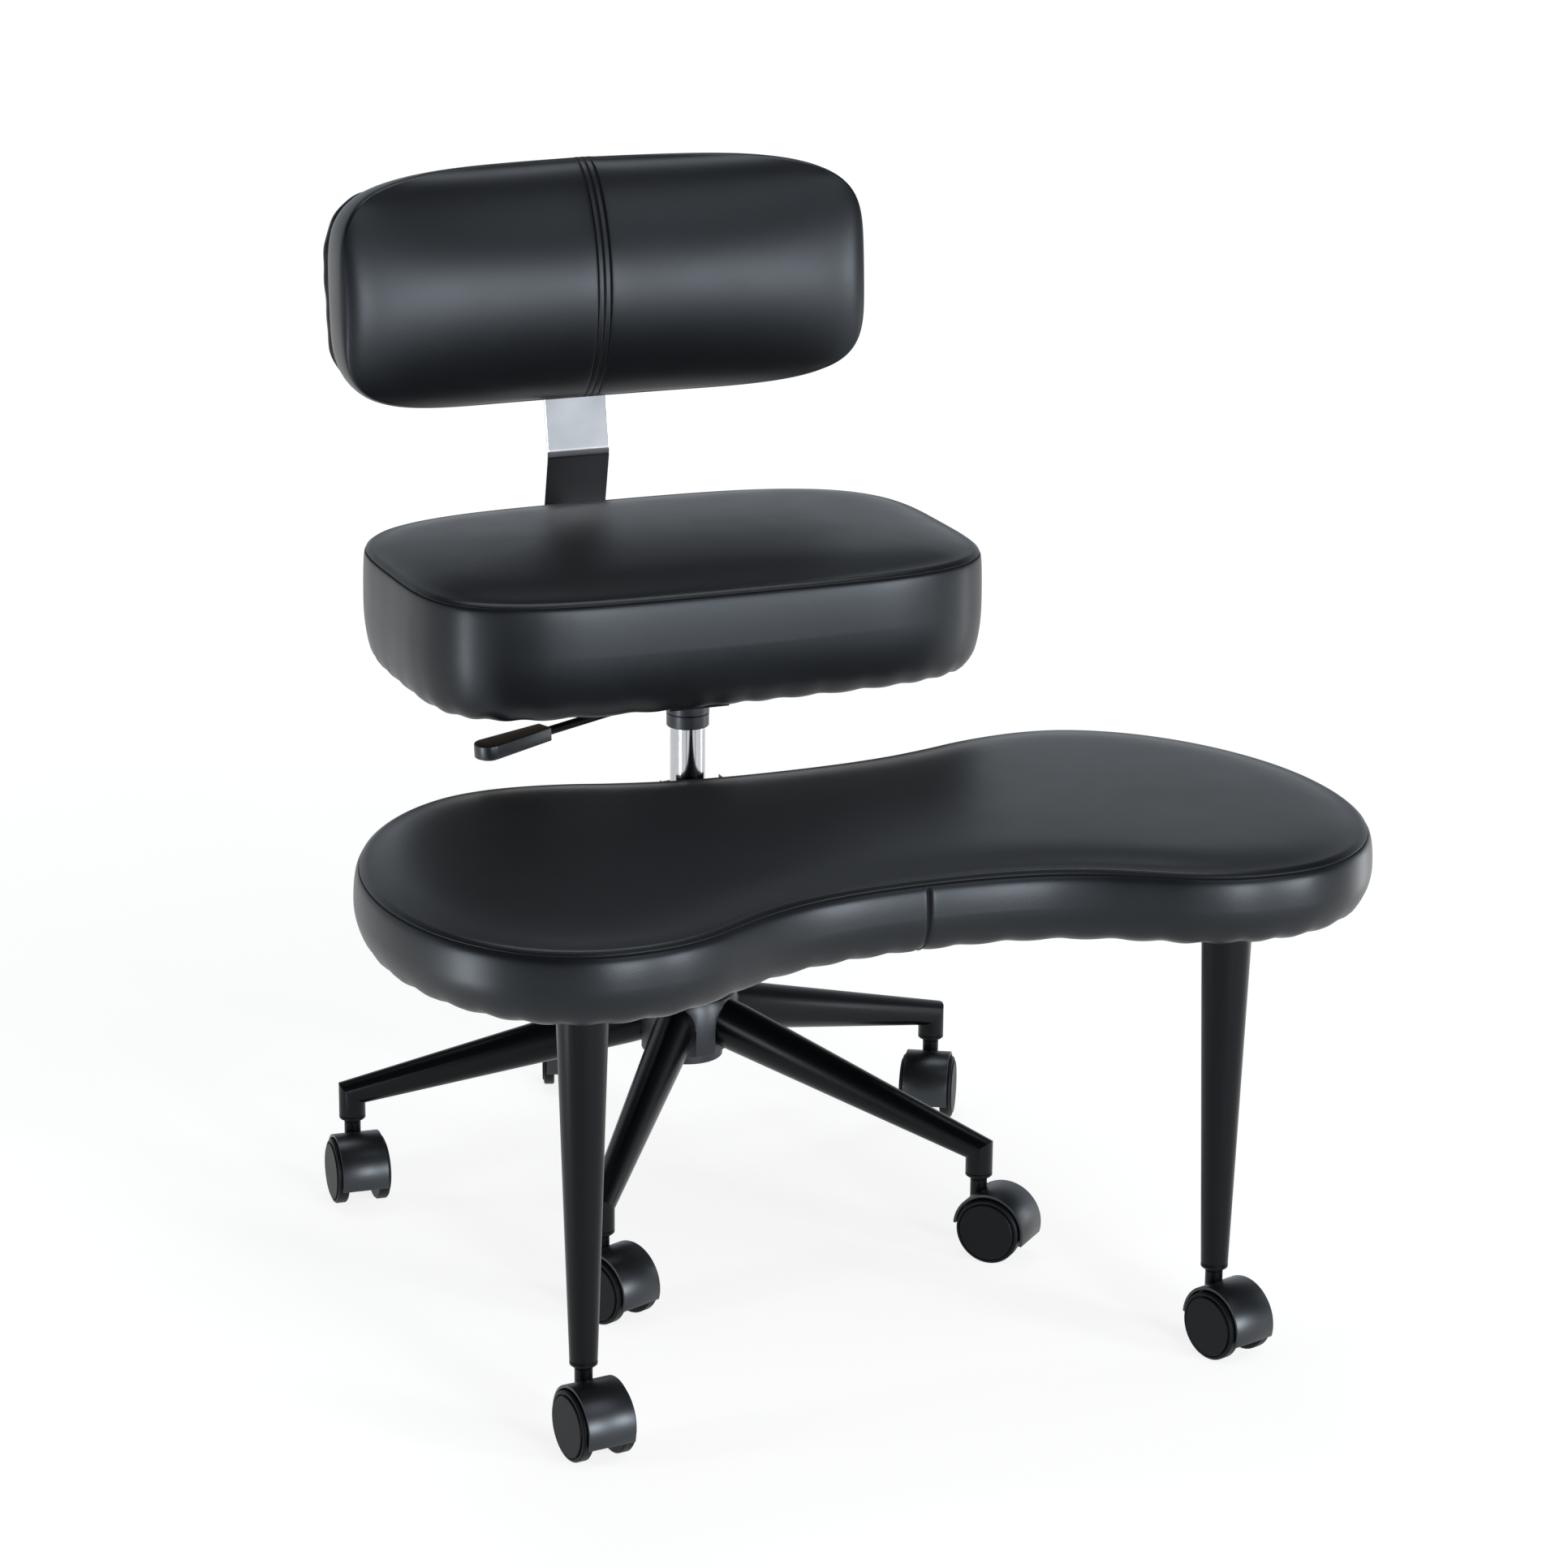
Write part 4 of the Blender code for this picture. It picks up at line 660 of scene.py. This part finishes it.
# %% Soften the strip
bm = bmesh.new()
bm.from_mesh(nodes["back_bracket"].data)
bmesh.ops.remove_doubles(bm, verts=bm.verts, dist=1e-5)
bmesh.ops.dissolve_limit(bm, angle_limit=radians(0.5), verts=bm.verts, edges=bm.edges)
bmesh.ops.recalc_face_normals(bm, faces=bm.faces)
soften(bm, 0.0008, 3, 40.0)
strip = linked(bm, "back_strip", strip_polish)
weighted = strip.modifiers.new("even_normals", 'WEIGHTED_NORMAL')
weighted.keep_sharp = True
dress(strip, "back_bracket")
print("strip:", len(strip.data.polygons), "faces")

# %% [markdown]
# ## Boxed pads
# The seat and the platform are boxed pads: a top panel and a side band sewn together, over foam on
# a board. The seam is a fold, and a narrow strip of the top panel stands up along it. Under the pad
# the band is pulled in and stapled, so its lower edge puckers from staple to staple. The mesh is a
# set of rings that follow the outline, because a remeshed pad would lose a fold this narrow. Cloth
# with pressure then swells the panels, while the seam and the stapled rings are held.

# %% Read a pad's outline from its solid
def widest_ring(node):
    """The solid's widest level ring of points, in order round its middle."""
    levels = {}
    for vert in nodes[node].data.vertices:
        levels.setdefault(round(vert.co.z, 4), set()).add((round(vert.co.x, 5), round(vert.co.y, 5)))
    ring = max(levels.values(), key=lambda points: max(x for x, y in points))
    middle = sum((Vector(point) for point in ring), Vector((0, 0))) / len(ring)
    ordered = sorted(ring, key=lambda point: atan2(point[1] - middle.y, point[0] - middle.x))
    return [Vector((x, y, 0.0)) for x, y in ordered]


def evenly_round(points, spacing):
    """Points at an even spacing on a smooth closed curve through the given points."""
    count = len(points)
    fine = []
    for k in range(count):
        a, b, c, d = (points[(k + step) % count] for step in (-1, 0, 1, 2))
        fine += interpolate_bezier(b, b + (c - a) / 6, c - (d - b) / 6, c, 13)[:-1]
    gaps = [(q - p).length for p, q in zip(fine, fine[1:] + fine[:1])]
    total, wanted = sum(gaps), round(sum(gaps) / spacing)
    placed, walked, k = [], 0.0, 0
    for number in range(wanted):
        target = total * number / wanted
        while walked + gaps[k] < target:
            walked += gaps[k]
            k += 1
        placed.append(fine[k].lerp(fine[(k + 1) % len(fine)], (target - walked) / gaps[k]))
    return placed


def inward(outline):
    """Unit directions that point into a closed outline."""
    ways = []
    for before, after in zip(outline[-1:] + outline[:-1], outline[1:] + outline[:1]):
        along = (after - before).normalized()
        ways.append(Vector((-along.y, along.x, 0.0)))
    return ways


# %% Swell a mesh with cloth
COVER_CLOTH = {"vertex_group_mass": "held", "quality": 5, "mass": 0.3, "tension_stiffness": 12.0,
               "compression_stiffness": 12.0, "shear_stiffness": 6.0, "bending_stiffness": 1.0,
               "use_pressure": True}


def plump(obj, held, pressure, cap, frames=20, evening=16):
    """Swell a closed mesh with cloth, limit how far a point moves and keep the result."""
    group = obj.vertex_groups.new(name="held")
    group.add(held, 1.0, 'REPLACE')
    cloth = obj.modifiers.new("swell", 'CLOTH')
    for setting, value in COVER_CLOTH.items():
        setattr(cloth.settings, setting, value)
    cloth.settings.uniform_pressure_force = pressure
    cloth.settings.effector_weights.gravity = 0.0
    cloth.collision_settings.use_collision = False
    for number in range(1, frames + 1):
        bpy.context.scene.frame_set(number)
    graph = bpy.context.evaluated_depsgraph_get()
    swollen = obj.evaluated_get(graph).to_mesh()
    most = 0.0
    shifts = []
    for vert, grown in zip(obj.data.vertices, swollen.vertices):
        shift = grown.co - vert.co
        most = max(most, shift.length)
        shifts.append(shift * min(1.0, cap / max(shift.length, 1e-9)))
    obj.modifiers.remove(cloth)
    obj.vertex_groups.remove(group)
    still = set(held)
    around = [[] for _ in shifts]
    for edge in obj.data.edges:
        a, b = edge.vertices
        around[a].append(b)
        around[b].append(a)

    def mean(numbers):
        return sum((shifts[k] for k in numbers), Vector()) / len(numbers)

    for _ in range(evening):
        shifts = [shift if number in still or not around[number]
                  else shift.lerp(mean(around[number]), 0.6)
                  for number, shift in enumerate(shifts)]
    for vert, shift in zip(obj.data.vertices, shifts):
        vert.co += shift
    bpy.context.scene.frame_set(1)
    print(f"{obj.name}: cloth moved points up to {1000 * most:.1f} mm, capped at {1000 * cap:.0f} mm")


# %% One live subdivision
def subdivided(obj):
    """One level, without the limit surface, which is slow where many edges meet."""
    finer = obj.modifiers.new("finer", 'SUBSURF')
    finer.levels = finer.render_levels = 1
    finer.use_limit_surface = False


# %% Build a boxed pad
SPACING = 0.0062
BOARD_INSET, BOARD_ROOM = 0.026, 0.0123
SEAM_FOLD = 0.0022
STRIP_RISE = 0.0044
STAPLE, TUCK_SAG, BAND_SAG = 0.034, 0.0022, 0.0034
# Each seam step is an inset, a rise, a painted shade for the fold (1 darkest) and whether the point is
# held
SEAM_STEPS = ((0.0, -0.0009, 0.0, True), (0.0006, -0.0005, 0.5, True), (SEAM_FOLD, 0.0, 1.0, True),
              (0.0010, 0.0006, 0.5, True), (0.0010, 0.0012, 0.0, True),
              (0.0022, 0.6 * STRIP_RISE, 0.0, False), (0.0038, 0.92 * STRIP_RISE, 0.0, False),
              (0.0054, STRIP_RISE, 0.0, False), (0.0076, STRIP_RISE - 0.0002, 0.0, False))
BAND_RINGS, TOP_RINGS = 9, 24
JOINT_DEPTH, JOINT_WIDTH, JOINT_SHADE = 0.0026, 0.0014, 0.0010
JOINT_STEPS = (-0.0030, -0.0017, -0.0008, 0.0, 0.0008, 0.0017, 0.0030)


def with_joint(outline, place):
    """Swap the outline's point nearest to a place for a few close ones."""
    k = min(range(len(outline)), key=lambda number: (outline[number] - place).length)
    along = (outline[(k + 1) % len(outline)] - outline[k - 1]).normalized()
    level = outline[k] + along * (place - outline[k]).dot(along)
    return outline[:k] + [level + along * step for step in JOINT_STEPS] + outline[k + 1:]


def boxed_pad(name, node, crown, spine, tuck, shoulder, joint_at=None):
    """Rings from the board's recess, round the band, over the seam and in to the pad's spine."""
    low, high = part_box(node)
    under, seam = low.z, high.z - crown
    band = seam - under
    outline = evenly_round(widest_ring(node), SPACING)
    if joint_at is not None:
        outline = with_joint(outline, joint_at)
    into = inward(outline)
    count = len(outline)
    tucks = max(1, round(count * SPACING / STAPLE))

    def pucker(k):
        """0 at a staple and 1 between two staples, of uneven length."""
        turn_share = k / count
        wander = 0.25 * sin(tau * 3 * turn_share + 0.7) + 0.2 * sin(tau * 7 * turn_share + 2.1)
        return abs(sin(pi * (tucks * turn_share + wander)))

    def ring(inset, height, sag=0.0):
        return [p + n * inset + Vector((0, 0, height - sag * pucker(k)))
                for k, (p, n) in enumerate(zip(outline, into))]

    def stitched(places):
        """Draw a ring in where the band's two ends are sewn together."""
        if joint_at is None:
            return places
        return [p + n * JOINT_DEPTH * exp(-((o - joint_at).length / JOINT_WIDTH) ** 2)
                for p, n, o in zip(places, into, outline)]

    rings = []
    for inset, up, sag in ((BOARD_INSET, BOARD_ROOM, 0.0), (BOARD_INSET, 0.0004, 0.0),
                           ((BOARD_INSET + tuck) / 2, 0.0, 0.0), (tuck + 0.0006, 0.0, TUCK_SAG)):
        rings.append((ring(inset, under + up, sag), 0.0, True))
    rise = 0.56 * band
    for k in range(1, BAND_RINGS + 1):
        share = sin(pi / 2 * k / BAND_RINGS) if k < BAND_RINGS else 1.0
        inset = tuck * (1.0 - (1.0 - (1.0 - share) ** 2) ** 0.5)
        sag = BAND_SAG * (1 - share) ** 3
        rings.append((stitched(ring(inset, under + rise * share, sag)), 0.0, False))
    for share in (0.22, 0.44, 0.64, 0.81, 0.93):
        height = under + rise + (seam - 0.0014 - under - rise) * share
        inset = shoulder * (1.0 - (1.0 - share ** 2) ** 0.5)
        rings.append((stitched(ring(inset, height)), 0.0, False))
    for inset, up, painted_shade, is_held in SEAM_STEPS:
        rings.append((ring(shoulder + inset, seam + up), painted_shade, is_held))
    edge = ring(shoulder + 0.0102, 0.0)
    centre = [spine(place) for place in edge]
    for k in range(1, TOP_RINGS + 1):
        share = (k / TOP_RINGS) ** 1.25
        height = seam + STRIP_RISE + (crown - STRIP_RISE) * (1.0 - (1.0 - share) ** 2)
        places = [a.lerp(b, 0.965 * share) for a, b in zip(edge, centre)]
        rings.append(([Vector((p.x, p.y, height)) for p in places], 0.0, False))

    pad = linked(skinned([places for places, painted_shade, is_held in rings]), name, leather, 180.0)
    marks = [(painted_shade, is_held) for places, painted_shade, is_held in rings for _ in range(count)]
    fold = pad.data.attributes.new("seam", 'FLOAT', 'POINT')
    for number, (painted_shade, is_held) in enumerate(marks):
        fold.data[number].value = painted_shade
    # Painted shade down the band's sewn joint, darkest on its middle line
    if joint_at is not None:
        for number, vert in enumerate(pad.data.vertices):
            flat = Vector((vert.co.x, vert.co.y, 0.0))
            if under + 0.002 < vert.co.z < seam - 0.0008 and (flat - joint_at).length < 0.03:
                fold.data[number].value = exp(-((vert.co.x - joint_at.x) / JOINT_SHADE) ** 2)
    held = [number for number, (painted_shade, is_held) in enumerate(marks) if is_held]
    plump(pad, held, pressure=4.0, cap=0.004)
    subdivided(pad)
    dress(pad, node)
    print(f"{name}: {count} points round, {len(rings)} rings, {tucks} staples")


# %% The seat's pad
seat_low, seat_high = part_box("seat_cushion")
seat_middle = (seat_low + seat_high) / 2
SEAT_CROWN = 0.012


def seat_spine(place):
    return Vector((seat_middle.x + 0.42 * (place.x - seat_middle.x), seat_middle.y, 0.0))


boxed_pad("seat_pad", "seat_cushion", SEAT_CROWN, seat_spine, tuck=0.014, shoulder=0.0015)

# %% The platform's pad, with the joint of its band at the front
knee_low, knee_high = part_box("platform_cushion")
knee_middle = (knee_low + knee_high) / 2
PLATFORM_CROWN = 0.0085
SPINE_BOW, SPINE_REACH = 0.017, 0.2


def knee_spine(place):
    across = 0.60 * (place.x - knee_middle.x)
    bow = SPINE_BOW - SPINE_BOW * (across / SPINE_REACH) ** 2
    return Vector((knee_middle.x + across, knee_middle.y + bow, 0.0))


waist = min((p for p in widest_ring("platform_cushion") if p.y < knee_middle.y),
            key=lambda p: abs(p.x))
boxed_pad("platform_pad", "platform_cushion", PLATFORM_CROWN, knee_spine, tuck=0.021, shoulder=0.0035,
          joint_at=Vector((0.0, waist.y, 0.0)))

# %% [markdown]
# ## Lumbar pad
# The back's pad is one panel, round from top to bottom and hollow from side to side to hold the
# sitter, with three rows of stitching down its middle: a seam and a row of topstitching on each side
# of it. It starts as a grid, because a grid can have narrow columns just where the stitching runs.
# Its rim is then extruded backwards and drawn in to the cover.

# %% Lay out the lumbar pad
BACK_WIDTH, BACK_HEIGHT, BACK_SQUARE = 0.450, 0.195, 4.5
BACK_CROWN, BACK_DEPTH, BACK_DRAWN_IN = 0.047, 0.068, 0.014
BACK_WRAP, BACK_SET_BACK, BACK_END_ROLL = 0.022, 0.017, 0.015
BACK_LEAN, BACK_BEHIND, BACK_ABOVE = radians(3.8), 0.170, 0.276
STITCH_ROWS = (-0.0055, 0.0, 0.0055)
STITCH_DEPTH, STITCH_WIDTH = 0.0015, 0.00055
SEAM_PULL, PULL_WIDTH = 0.0012, 0.012
half_width, half_height = BACK_WIDTH / 2, BACK_HEIGHT / 2
back_foot = Vector((column.x, column.y + BACK_BEHIND, seat_low.z + BACK_ABOVE))
BACK_PLACE = Matrix.Translation(back_foot) @ Matrix.Rotation(-BACK_LEAN, 4, 'X')


def stitch_share(x):
    """1 on a row of stitching and 0 between rows."""
    return max(exp(-((x - row) / STITCH_WIDTH) ** 2) for row in STITCH_ROWS)


def outline_share(u, t):
    """1 on the pad's rounded outline and 0 at its middle."""
    return (abs(u) ** BACK_SQUARE + abs(t) ** BACK_SQUARE) ** (1.0 / BACK_SQUARE)


def squircle(u, t):
    """Map a square grid's point to the pad's rounded outline, ring by ring."""
    size = outline_share(u, t)
    pull = max(abs(u), abs(t)) / size if size > 0 else 1.0
    return u * pull, t * pull


def crown_depth(u, t):
    """How far back the panel lies: it rolls off at the rim and comes forward at its two ends."""
    end = abs(u) ** 3
    roll = 1.0 - max(0.0, 1.0 - t * t) ** 0.5
    fall = BACK_CROWN * (0.35 * t * t + 0.65 * roll) * (1.0 - 0.50 * end)
    fall += BACK_SET_BACK - BACK_WRAP * u * u
    fall += BACK_END_ROLL * (1.0 - max(0.0, 1.0 - u ** 8) ** 0.5)
    pulled = SEAM_PULL * exp(-(u * half_width / PULL_WIDTH) ** 2)
    return fall + pulled + STITCH_DEPTH * stitch_share(u * half_width)


near = [row + step for row in STITCH_ROWS
        for step in (-0.0016, -0.0009, -0.0004, 0.0, 0.0004, 0.0009, 0.0016)]
between_rows = [-0.00275, 0.00275]
FAR_START, FAR_COUNT = 0.0085, 30
far = [FAR_START + (half_width - FAR_START) * sin(pi / 2 * k / FAR_COUNT) ** 0.9
       for k in range(FAR_COUNT + 1)]
columns = sorted([-x for x in far] + near + between_rows + far)
rows = 44
print("lumbar pad:", len(columns), "columns,", rows, "rows")


# %% Shape the lumbar pad
RIM_STEPS = ((0.05, -0.05), (0.12, -0.07), (0.22, -0.05), (0.34, 0.04), (0.48, 0.20), (0.62, 0.42),
             (0.76, 0.66), (0.90, 0.88), (1.0, 1.0))


def on_rim(vert, inset):
    """Put a vertex on the pad's outline, drawn in by an amount."""
    x, z = vert.co.x, vert.co.z
    size = outline_share(x / half_width, z / half_height)
    vert.co.x = x / size * (1.0 - inset / half_width)
    vert.co.z = z / size * (1.0 - inset / half_height)


bm = bmesh.new()
bmesh.ops.create_grid(bm, x_segments=len(columns) - 1, y_segments=rows, size=1.0)
fold_layer = bm.verts.layers.float.new("seam")
held_layer = bm.verts.layers.int.new("held")
for vert in bm.verts:
    across = columns[round((vert.co.x + 1) / 2 * (len(columns) - 1))] / half_width
    # Painted shade on the three rows of stitching, through the seam attribute
    vert[fold_layer] = stitch_share(across * half_width) ** 2
    vert[held_layer] = int(stitch_share(across * half_width) > 0.5)
    u, t = squircle(across, sin(pi / 2 * vert.co.y))
    vert.co = (u * half_width, 0.0, t * half_height)
loose = [vert for vert in bm.verts if not vert.is_boundary and abs(vert.co.x) > PULL_WIDTH]
for _ in range(30):
    bmesh.ops.smooth_vert(bm, verts=loose, factor=0.5, use_axis_x=True, use_axis_z=True)
for vert in bm.verts:
    vert.co.y = crown_depth(vert.co.x / half_width, vert.co.z / half_height)
rim = [edge for edge in bm.edges if edge.is_boundary]
for depth_share, inset_share in RIM_STEPS:
    grown = bmesh.ops.extrude_edge_only(bm, edges=rim)["geom"]
    rim = [item for item in grown if isinstance(item, bmesh.types.BMEdge)]
    for vert in {vert for edge in rim for vert in edge.verts}:
        vert[held_layer] = int(depth_share > 0.8)
        # Painted shade in the fold where the pad's rim is drawn in to the cover
        vert[fold_layer] = max(0.0, min(1.0, (depth_share - 0.7) / 0.25))
        vert.co.y += depth_share * (BACK_DEPTH - vert.co.y)
        on_rim(vert, inset_share * BACK_DRAWN_IN)
bmesh.ops.triangle_fill(bm, edges=rim, use_beauty=True)
bmesh.ops.recalc_face_normals(bm, faces=bm.faces)
moved(bm, BACK_PLACE)
bm.verts.index_update()
held = [vert.index for vert in bm.verts if vert[held_layer]]
lumbar = linked(bm, "lumbar_pad", leather, 180.0)
plump(lumbar, held, pressure=3.0, cap=0.0012)
subdivided(lumbar)
dress(lumbar, "back_cushion")
print("lumbar pad:", len(lumbar.data.vertices), "points,", len(held), "held")

# %% [markdown]
# ## Rear cover of the back
# The cover is the same leather, pulled round a board and stapled inside, so its edge ripples. It is
# a rounded outline, grown ring by ring to the middle, with ripples that fade away from the edge.

# %% Grow the rear cover
COVER, COVER_INSET = 0.030, 0.006
COVER_ROUND, COVER_SHRINK = 0.024, 0.08
COVER_POINTS, COVER_SPACING = 55, 0.005
COVER_STEPS = ((0.2, 0.0, 0.0), (0.09, 0.02, 0.0002), (0.02, 0.08, 0.0005), (0.0, 0.16, 0.0007),
               (0.012, 0.26, 0.0006), (0.06, 0.37, 0.0005), (0.16, 0.48, 0.0004), (0.30, 0.58, 0.0003),
               (0.50, 0.70, 0.0002), (0.80, 0.82, 0.0001), (1.2, 0.91, 0.0), (1.7, 0.965, 0.0),
               (2.2, 0.99, 0.0))
half_w, half_h = half_width - COVER_INSET, half_height - COVER_INSET
corners = []
for a in (tau * k / COVER_POINTS for k in range(COVER_POINTS)):
    x, z = (copysign(abs(share) ** (2 / BACK_SQUARE), share) for share in (cos(a), sin(a)))
    corners.append(Vector((half_w * x, half_h * z, 0.0)))
cover_line = evenly_round(corners, COVER_SPACING)
cover_into = inward(cover_line)


def cover_ring(inset, depth, ripple):
    """A rippled ring: parallel to the outline near it, then drawn towards the middle."""
    shrink = 1.0 - max(0.0, inset - COVER_ROUND) / COVER_SHRINK
    places = []
    for k, (p, n) in enumerate(zip(cover_line, cover_into)):
        around = tau * k / len(cover_line)
        wave = sin(19 * around + 1.3 * sin(5 * around)) + 0.6 * sin(41 * around + 0.4)
        q = (p + n * (min(inset, COVER_ROUND) - ripple * wave)) * shrink
        places.append(Vector((q.x, BACK_DEPTH + 0.0003 + depth, q.y)))
    return places


rings = [cover_ring(inset * COVER, depth * COVER, ripple) for inset, depth, ripple in COVER_STEPS]
rear_cover = linked(moved(skinned(rings), BACK_PLACE), "rear_cover", leather, 180.0)
subdivided(rear_cover)
dress(rear_cover, "back_cover")
print("rear cover:", len(cover_line), "points round")

# %% [markdown]
# ## Solids that stay
# The inner pieces and the plates have the right shape already. They keep their solids and only get
# a finish in place of the plain one.

# %% Finish the solids that stay shown
kept = {"seat_plate": satin_paint, "platform_bracket": satin_paint, "seat_board": plywood,
        "platform_board": plywood, "piston_rod": bare_steel, "thrust_bearing": bare_steel,
        "valve_pin": bare_steel}
kept.update({f"caster_{number}_axle": bare_steel for number in range(1, 8)})
for node, finish in kept.items():
    nodes[node].data.materials.clear()
    nodes[node].data.materials.append(finish)
print("solids kept:", len(kept))

# %% [markdown]
# ## Floor, light and camera
# The floor is pale and catches soft shadows. Black leather has little colour of its own, so its form
# is read from what it reflects: two low lamps in front draw the bands of light across the back and
# the pads' sides, two upright strips edge the round tubes, and a key and a lamp overhead lift the
# tops. The floor's own glow is only for the camera and for reflections, so it lights nothing.

# %% Floor
FAR_FLOOR = (0.68, 0.735, 0.79)


def floor_finish():
    """White near the chair and the colour of the wall far away, so that no edge shows there."""
    material = bpy.data.materials.new("pale_floor")
    material.use_nodes = True
    tree = material.node_tree
    tree.nodes.clear()
    rays = added(tree, "LightPath")
    seen = rays.outputs["Is Camera Ray"]
    for ray in ("Is Glossy Ray", "Is Transmission Ray"):
        seen = computed(tree, 'MAXIMUM', seen, rays.outputs[ray])
    away = added(tree, "VectorMath")
    away.operation = 'LENGTH'
    tree.links.new(added(tree, "TexCoord").outputs["Object"], away.inputs[0])
    level = between(tree, away.outputs["Value"], 0.82, 1.0, 0.5, 3.2, eased=True)
    far_off = between(tree, away.outputs["Value"], 0.0, 1.0, 5.0, 26.0, eased=True)
    white_or_far = blended(tree, far_off, (1.0, 1.0, 1.0), FAR_FLOOR)
    glow = added(tree, "Emission", Strength=level, Color=white_or_far)
    pale = added(tree, "BsdfDiffuse", Color=(0.30, 0.30, 0.30, 1.0))
    plain = added(tree, "BsdfDiffuse", Color=(0.6, 0.6, 0.6, 1.0))
    lit, choose = added(tree, "AddShader"), added(tree, "MixShader", Fac=seen)
    for source, socket in ((glow, lit.inputs[0]), (pale, lit.inputs[1]),
                           (plain, choose.inputs[1]), (lit, choose.inputs[2])):
        tree.links.new(source.outputs[0], socket)
    added(tree, "OutputMaterial", Surface=choose.outputs["Shader"])
    return material


bm = bmesh.new()
FLOOR_REACH = 30.0
bmesh.ops.create_grid(bm, x_segments=1, y_segments=1, size=FLOOR_REACH)
floor_plane = linked(bm, "floor", floor_finish())
print(f"floor: {2 * FLOOR_REACH:.0f} m square")

# %% World
def studio_world():
    """White low down and dark overhead; behind the chair the white wall reaches higher."""
    world = bpy.data.worlds.new("studio")
    world.use_nodes = True
    tree = world.node_tree
    where = added(tree, "TexCoord").outputs["Generated"]
    along = added(tree, "SeparateXYZ", Vector=where).outputs
    wall = between(tree, along["Y"], 0.02, 0.36, -0.5, 0.5, eased=True)
    above = computed(tree, 'SUBTRACT', along["Z"], wall)
    fade = between(tree, above, 0.80, 0.03, 0.0, 0.24, eased=True)
    dim = between(tree, along["Y"], 0.90, 1.0, -0.6, 0.1, eased=True)
    feed(tree.nodes["Background"], Color=(0.86, 0.93, 1.0, 1.0),
         Strength=computed(tree, 'MULTIPLY', fade, dim))
    return world


bpy.context.scene.world = studio_world()
print("world:", bpy.context.scene.world.name)

# %% Lamps
chair_middle = Vector((0.0, 0.0, 0.45))


def softbox(name, azimuth, elevation, distance, size, radiance):
    """A rectangular lamp that looks at the chair from an angle round it and above it."""
    lamp = bpy.data.lights.new(name, 'AREA')
    lamp.shape = 'RECTANGLE'
    lamp.size, lamp.size_y = size
    lamp.color = (0.95, 0.975, 1.0)
    lamp.energy = radiance * pi * size[0] * size[1]
    obj = in_scene(name, lamp)
    a, e = radians(azimuth), radians(elevation)
    way = Vector((sin(a) * cos(e), -cos(a) * cos(e), sin(e)))
    obj.location = chair_middle + way * distance
    obj.rotation_euler = way.to_track_quat('Z', 'Y').to_euler()
    obj.visible_camera = False


softbox("key", 21.0, 50.0, 3.0, (1.6, 1.6), 2.2)
softbox("low_front", 7.0, 2.0, 3.2, (0.45, 0.9), 42.0)
softbox("low_right", 36.0, 2.0, 3.2, (0.45, 0.9), 40.0)
softbox("strip_left", -76.0, -10.0, 1.25, (0.16, 0.46), 22.0)
softbox("strip_right", 88.0, -10.0, 1.25, (0.14, 0.46), 7.0)
softbox("overhead", 170.0, 70.0, 2.6, (2.0, 0.8), 5.0)

# %% [markdown]
# The camera repeats the photo's viewpoint: a long lens, some four metres away, a little to the
# sitter's right and looking down. It was solved from the photo, with the five arms taken as equal.

# %% Camera
LENS, SENSOR = 111.04, 36.0
EYE = Vector((-1.3293, -3.4387, 1.4655))
YAW, PITCH, ROLL = radians(22.33), radians(16.96), radians(0.531)
lens = bpy.data.cameras.new("camera")
lens.lens, lens.sensor_width = LENS, SENSOR
camera = in_scene("camera", lens)
camera.matrix_world = (Matrix.Translation(EYE + column) @ Matrix.Rotation(-YAW, 4, 'Z')
                       @ Matrix.Rotation(pi / 2 - PITCH, 4, 'X') @ Matrix.Rotation(ROLL, 4, 'Z'))
bpy.context.scene.camera = camera
bpy.context.scene.view_settings.view_transform = 'Standard'
print("camera:", round(lens.lens), "mm at", [round(c, 2) for c in camera.location])
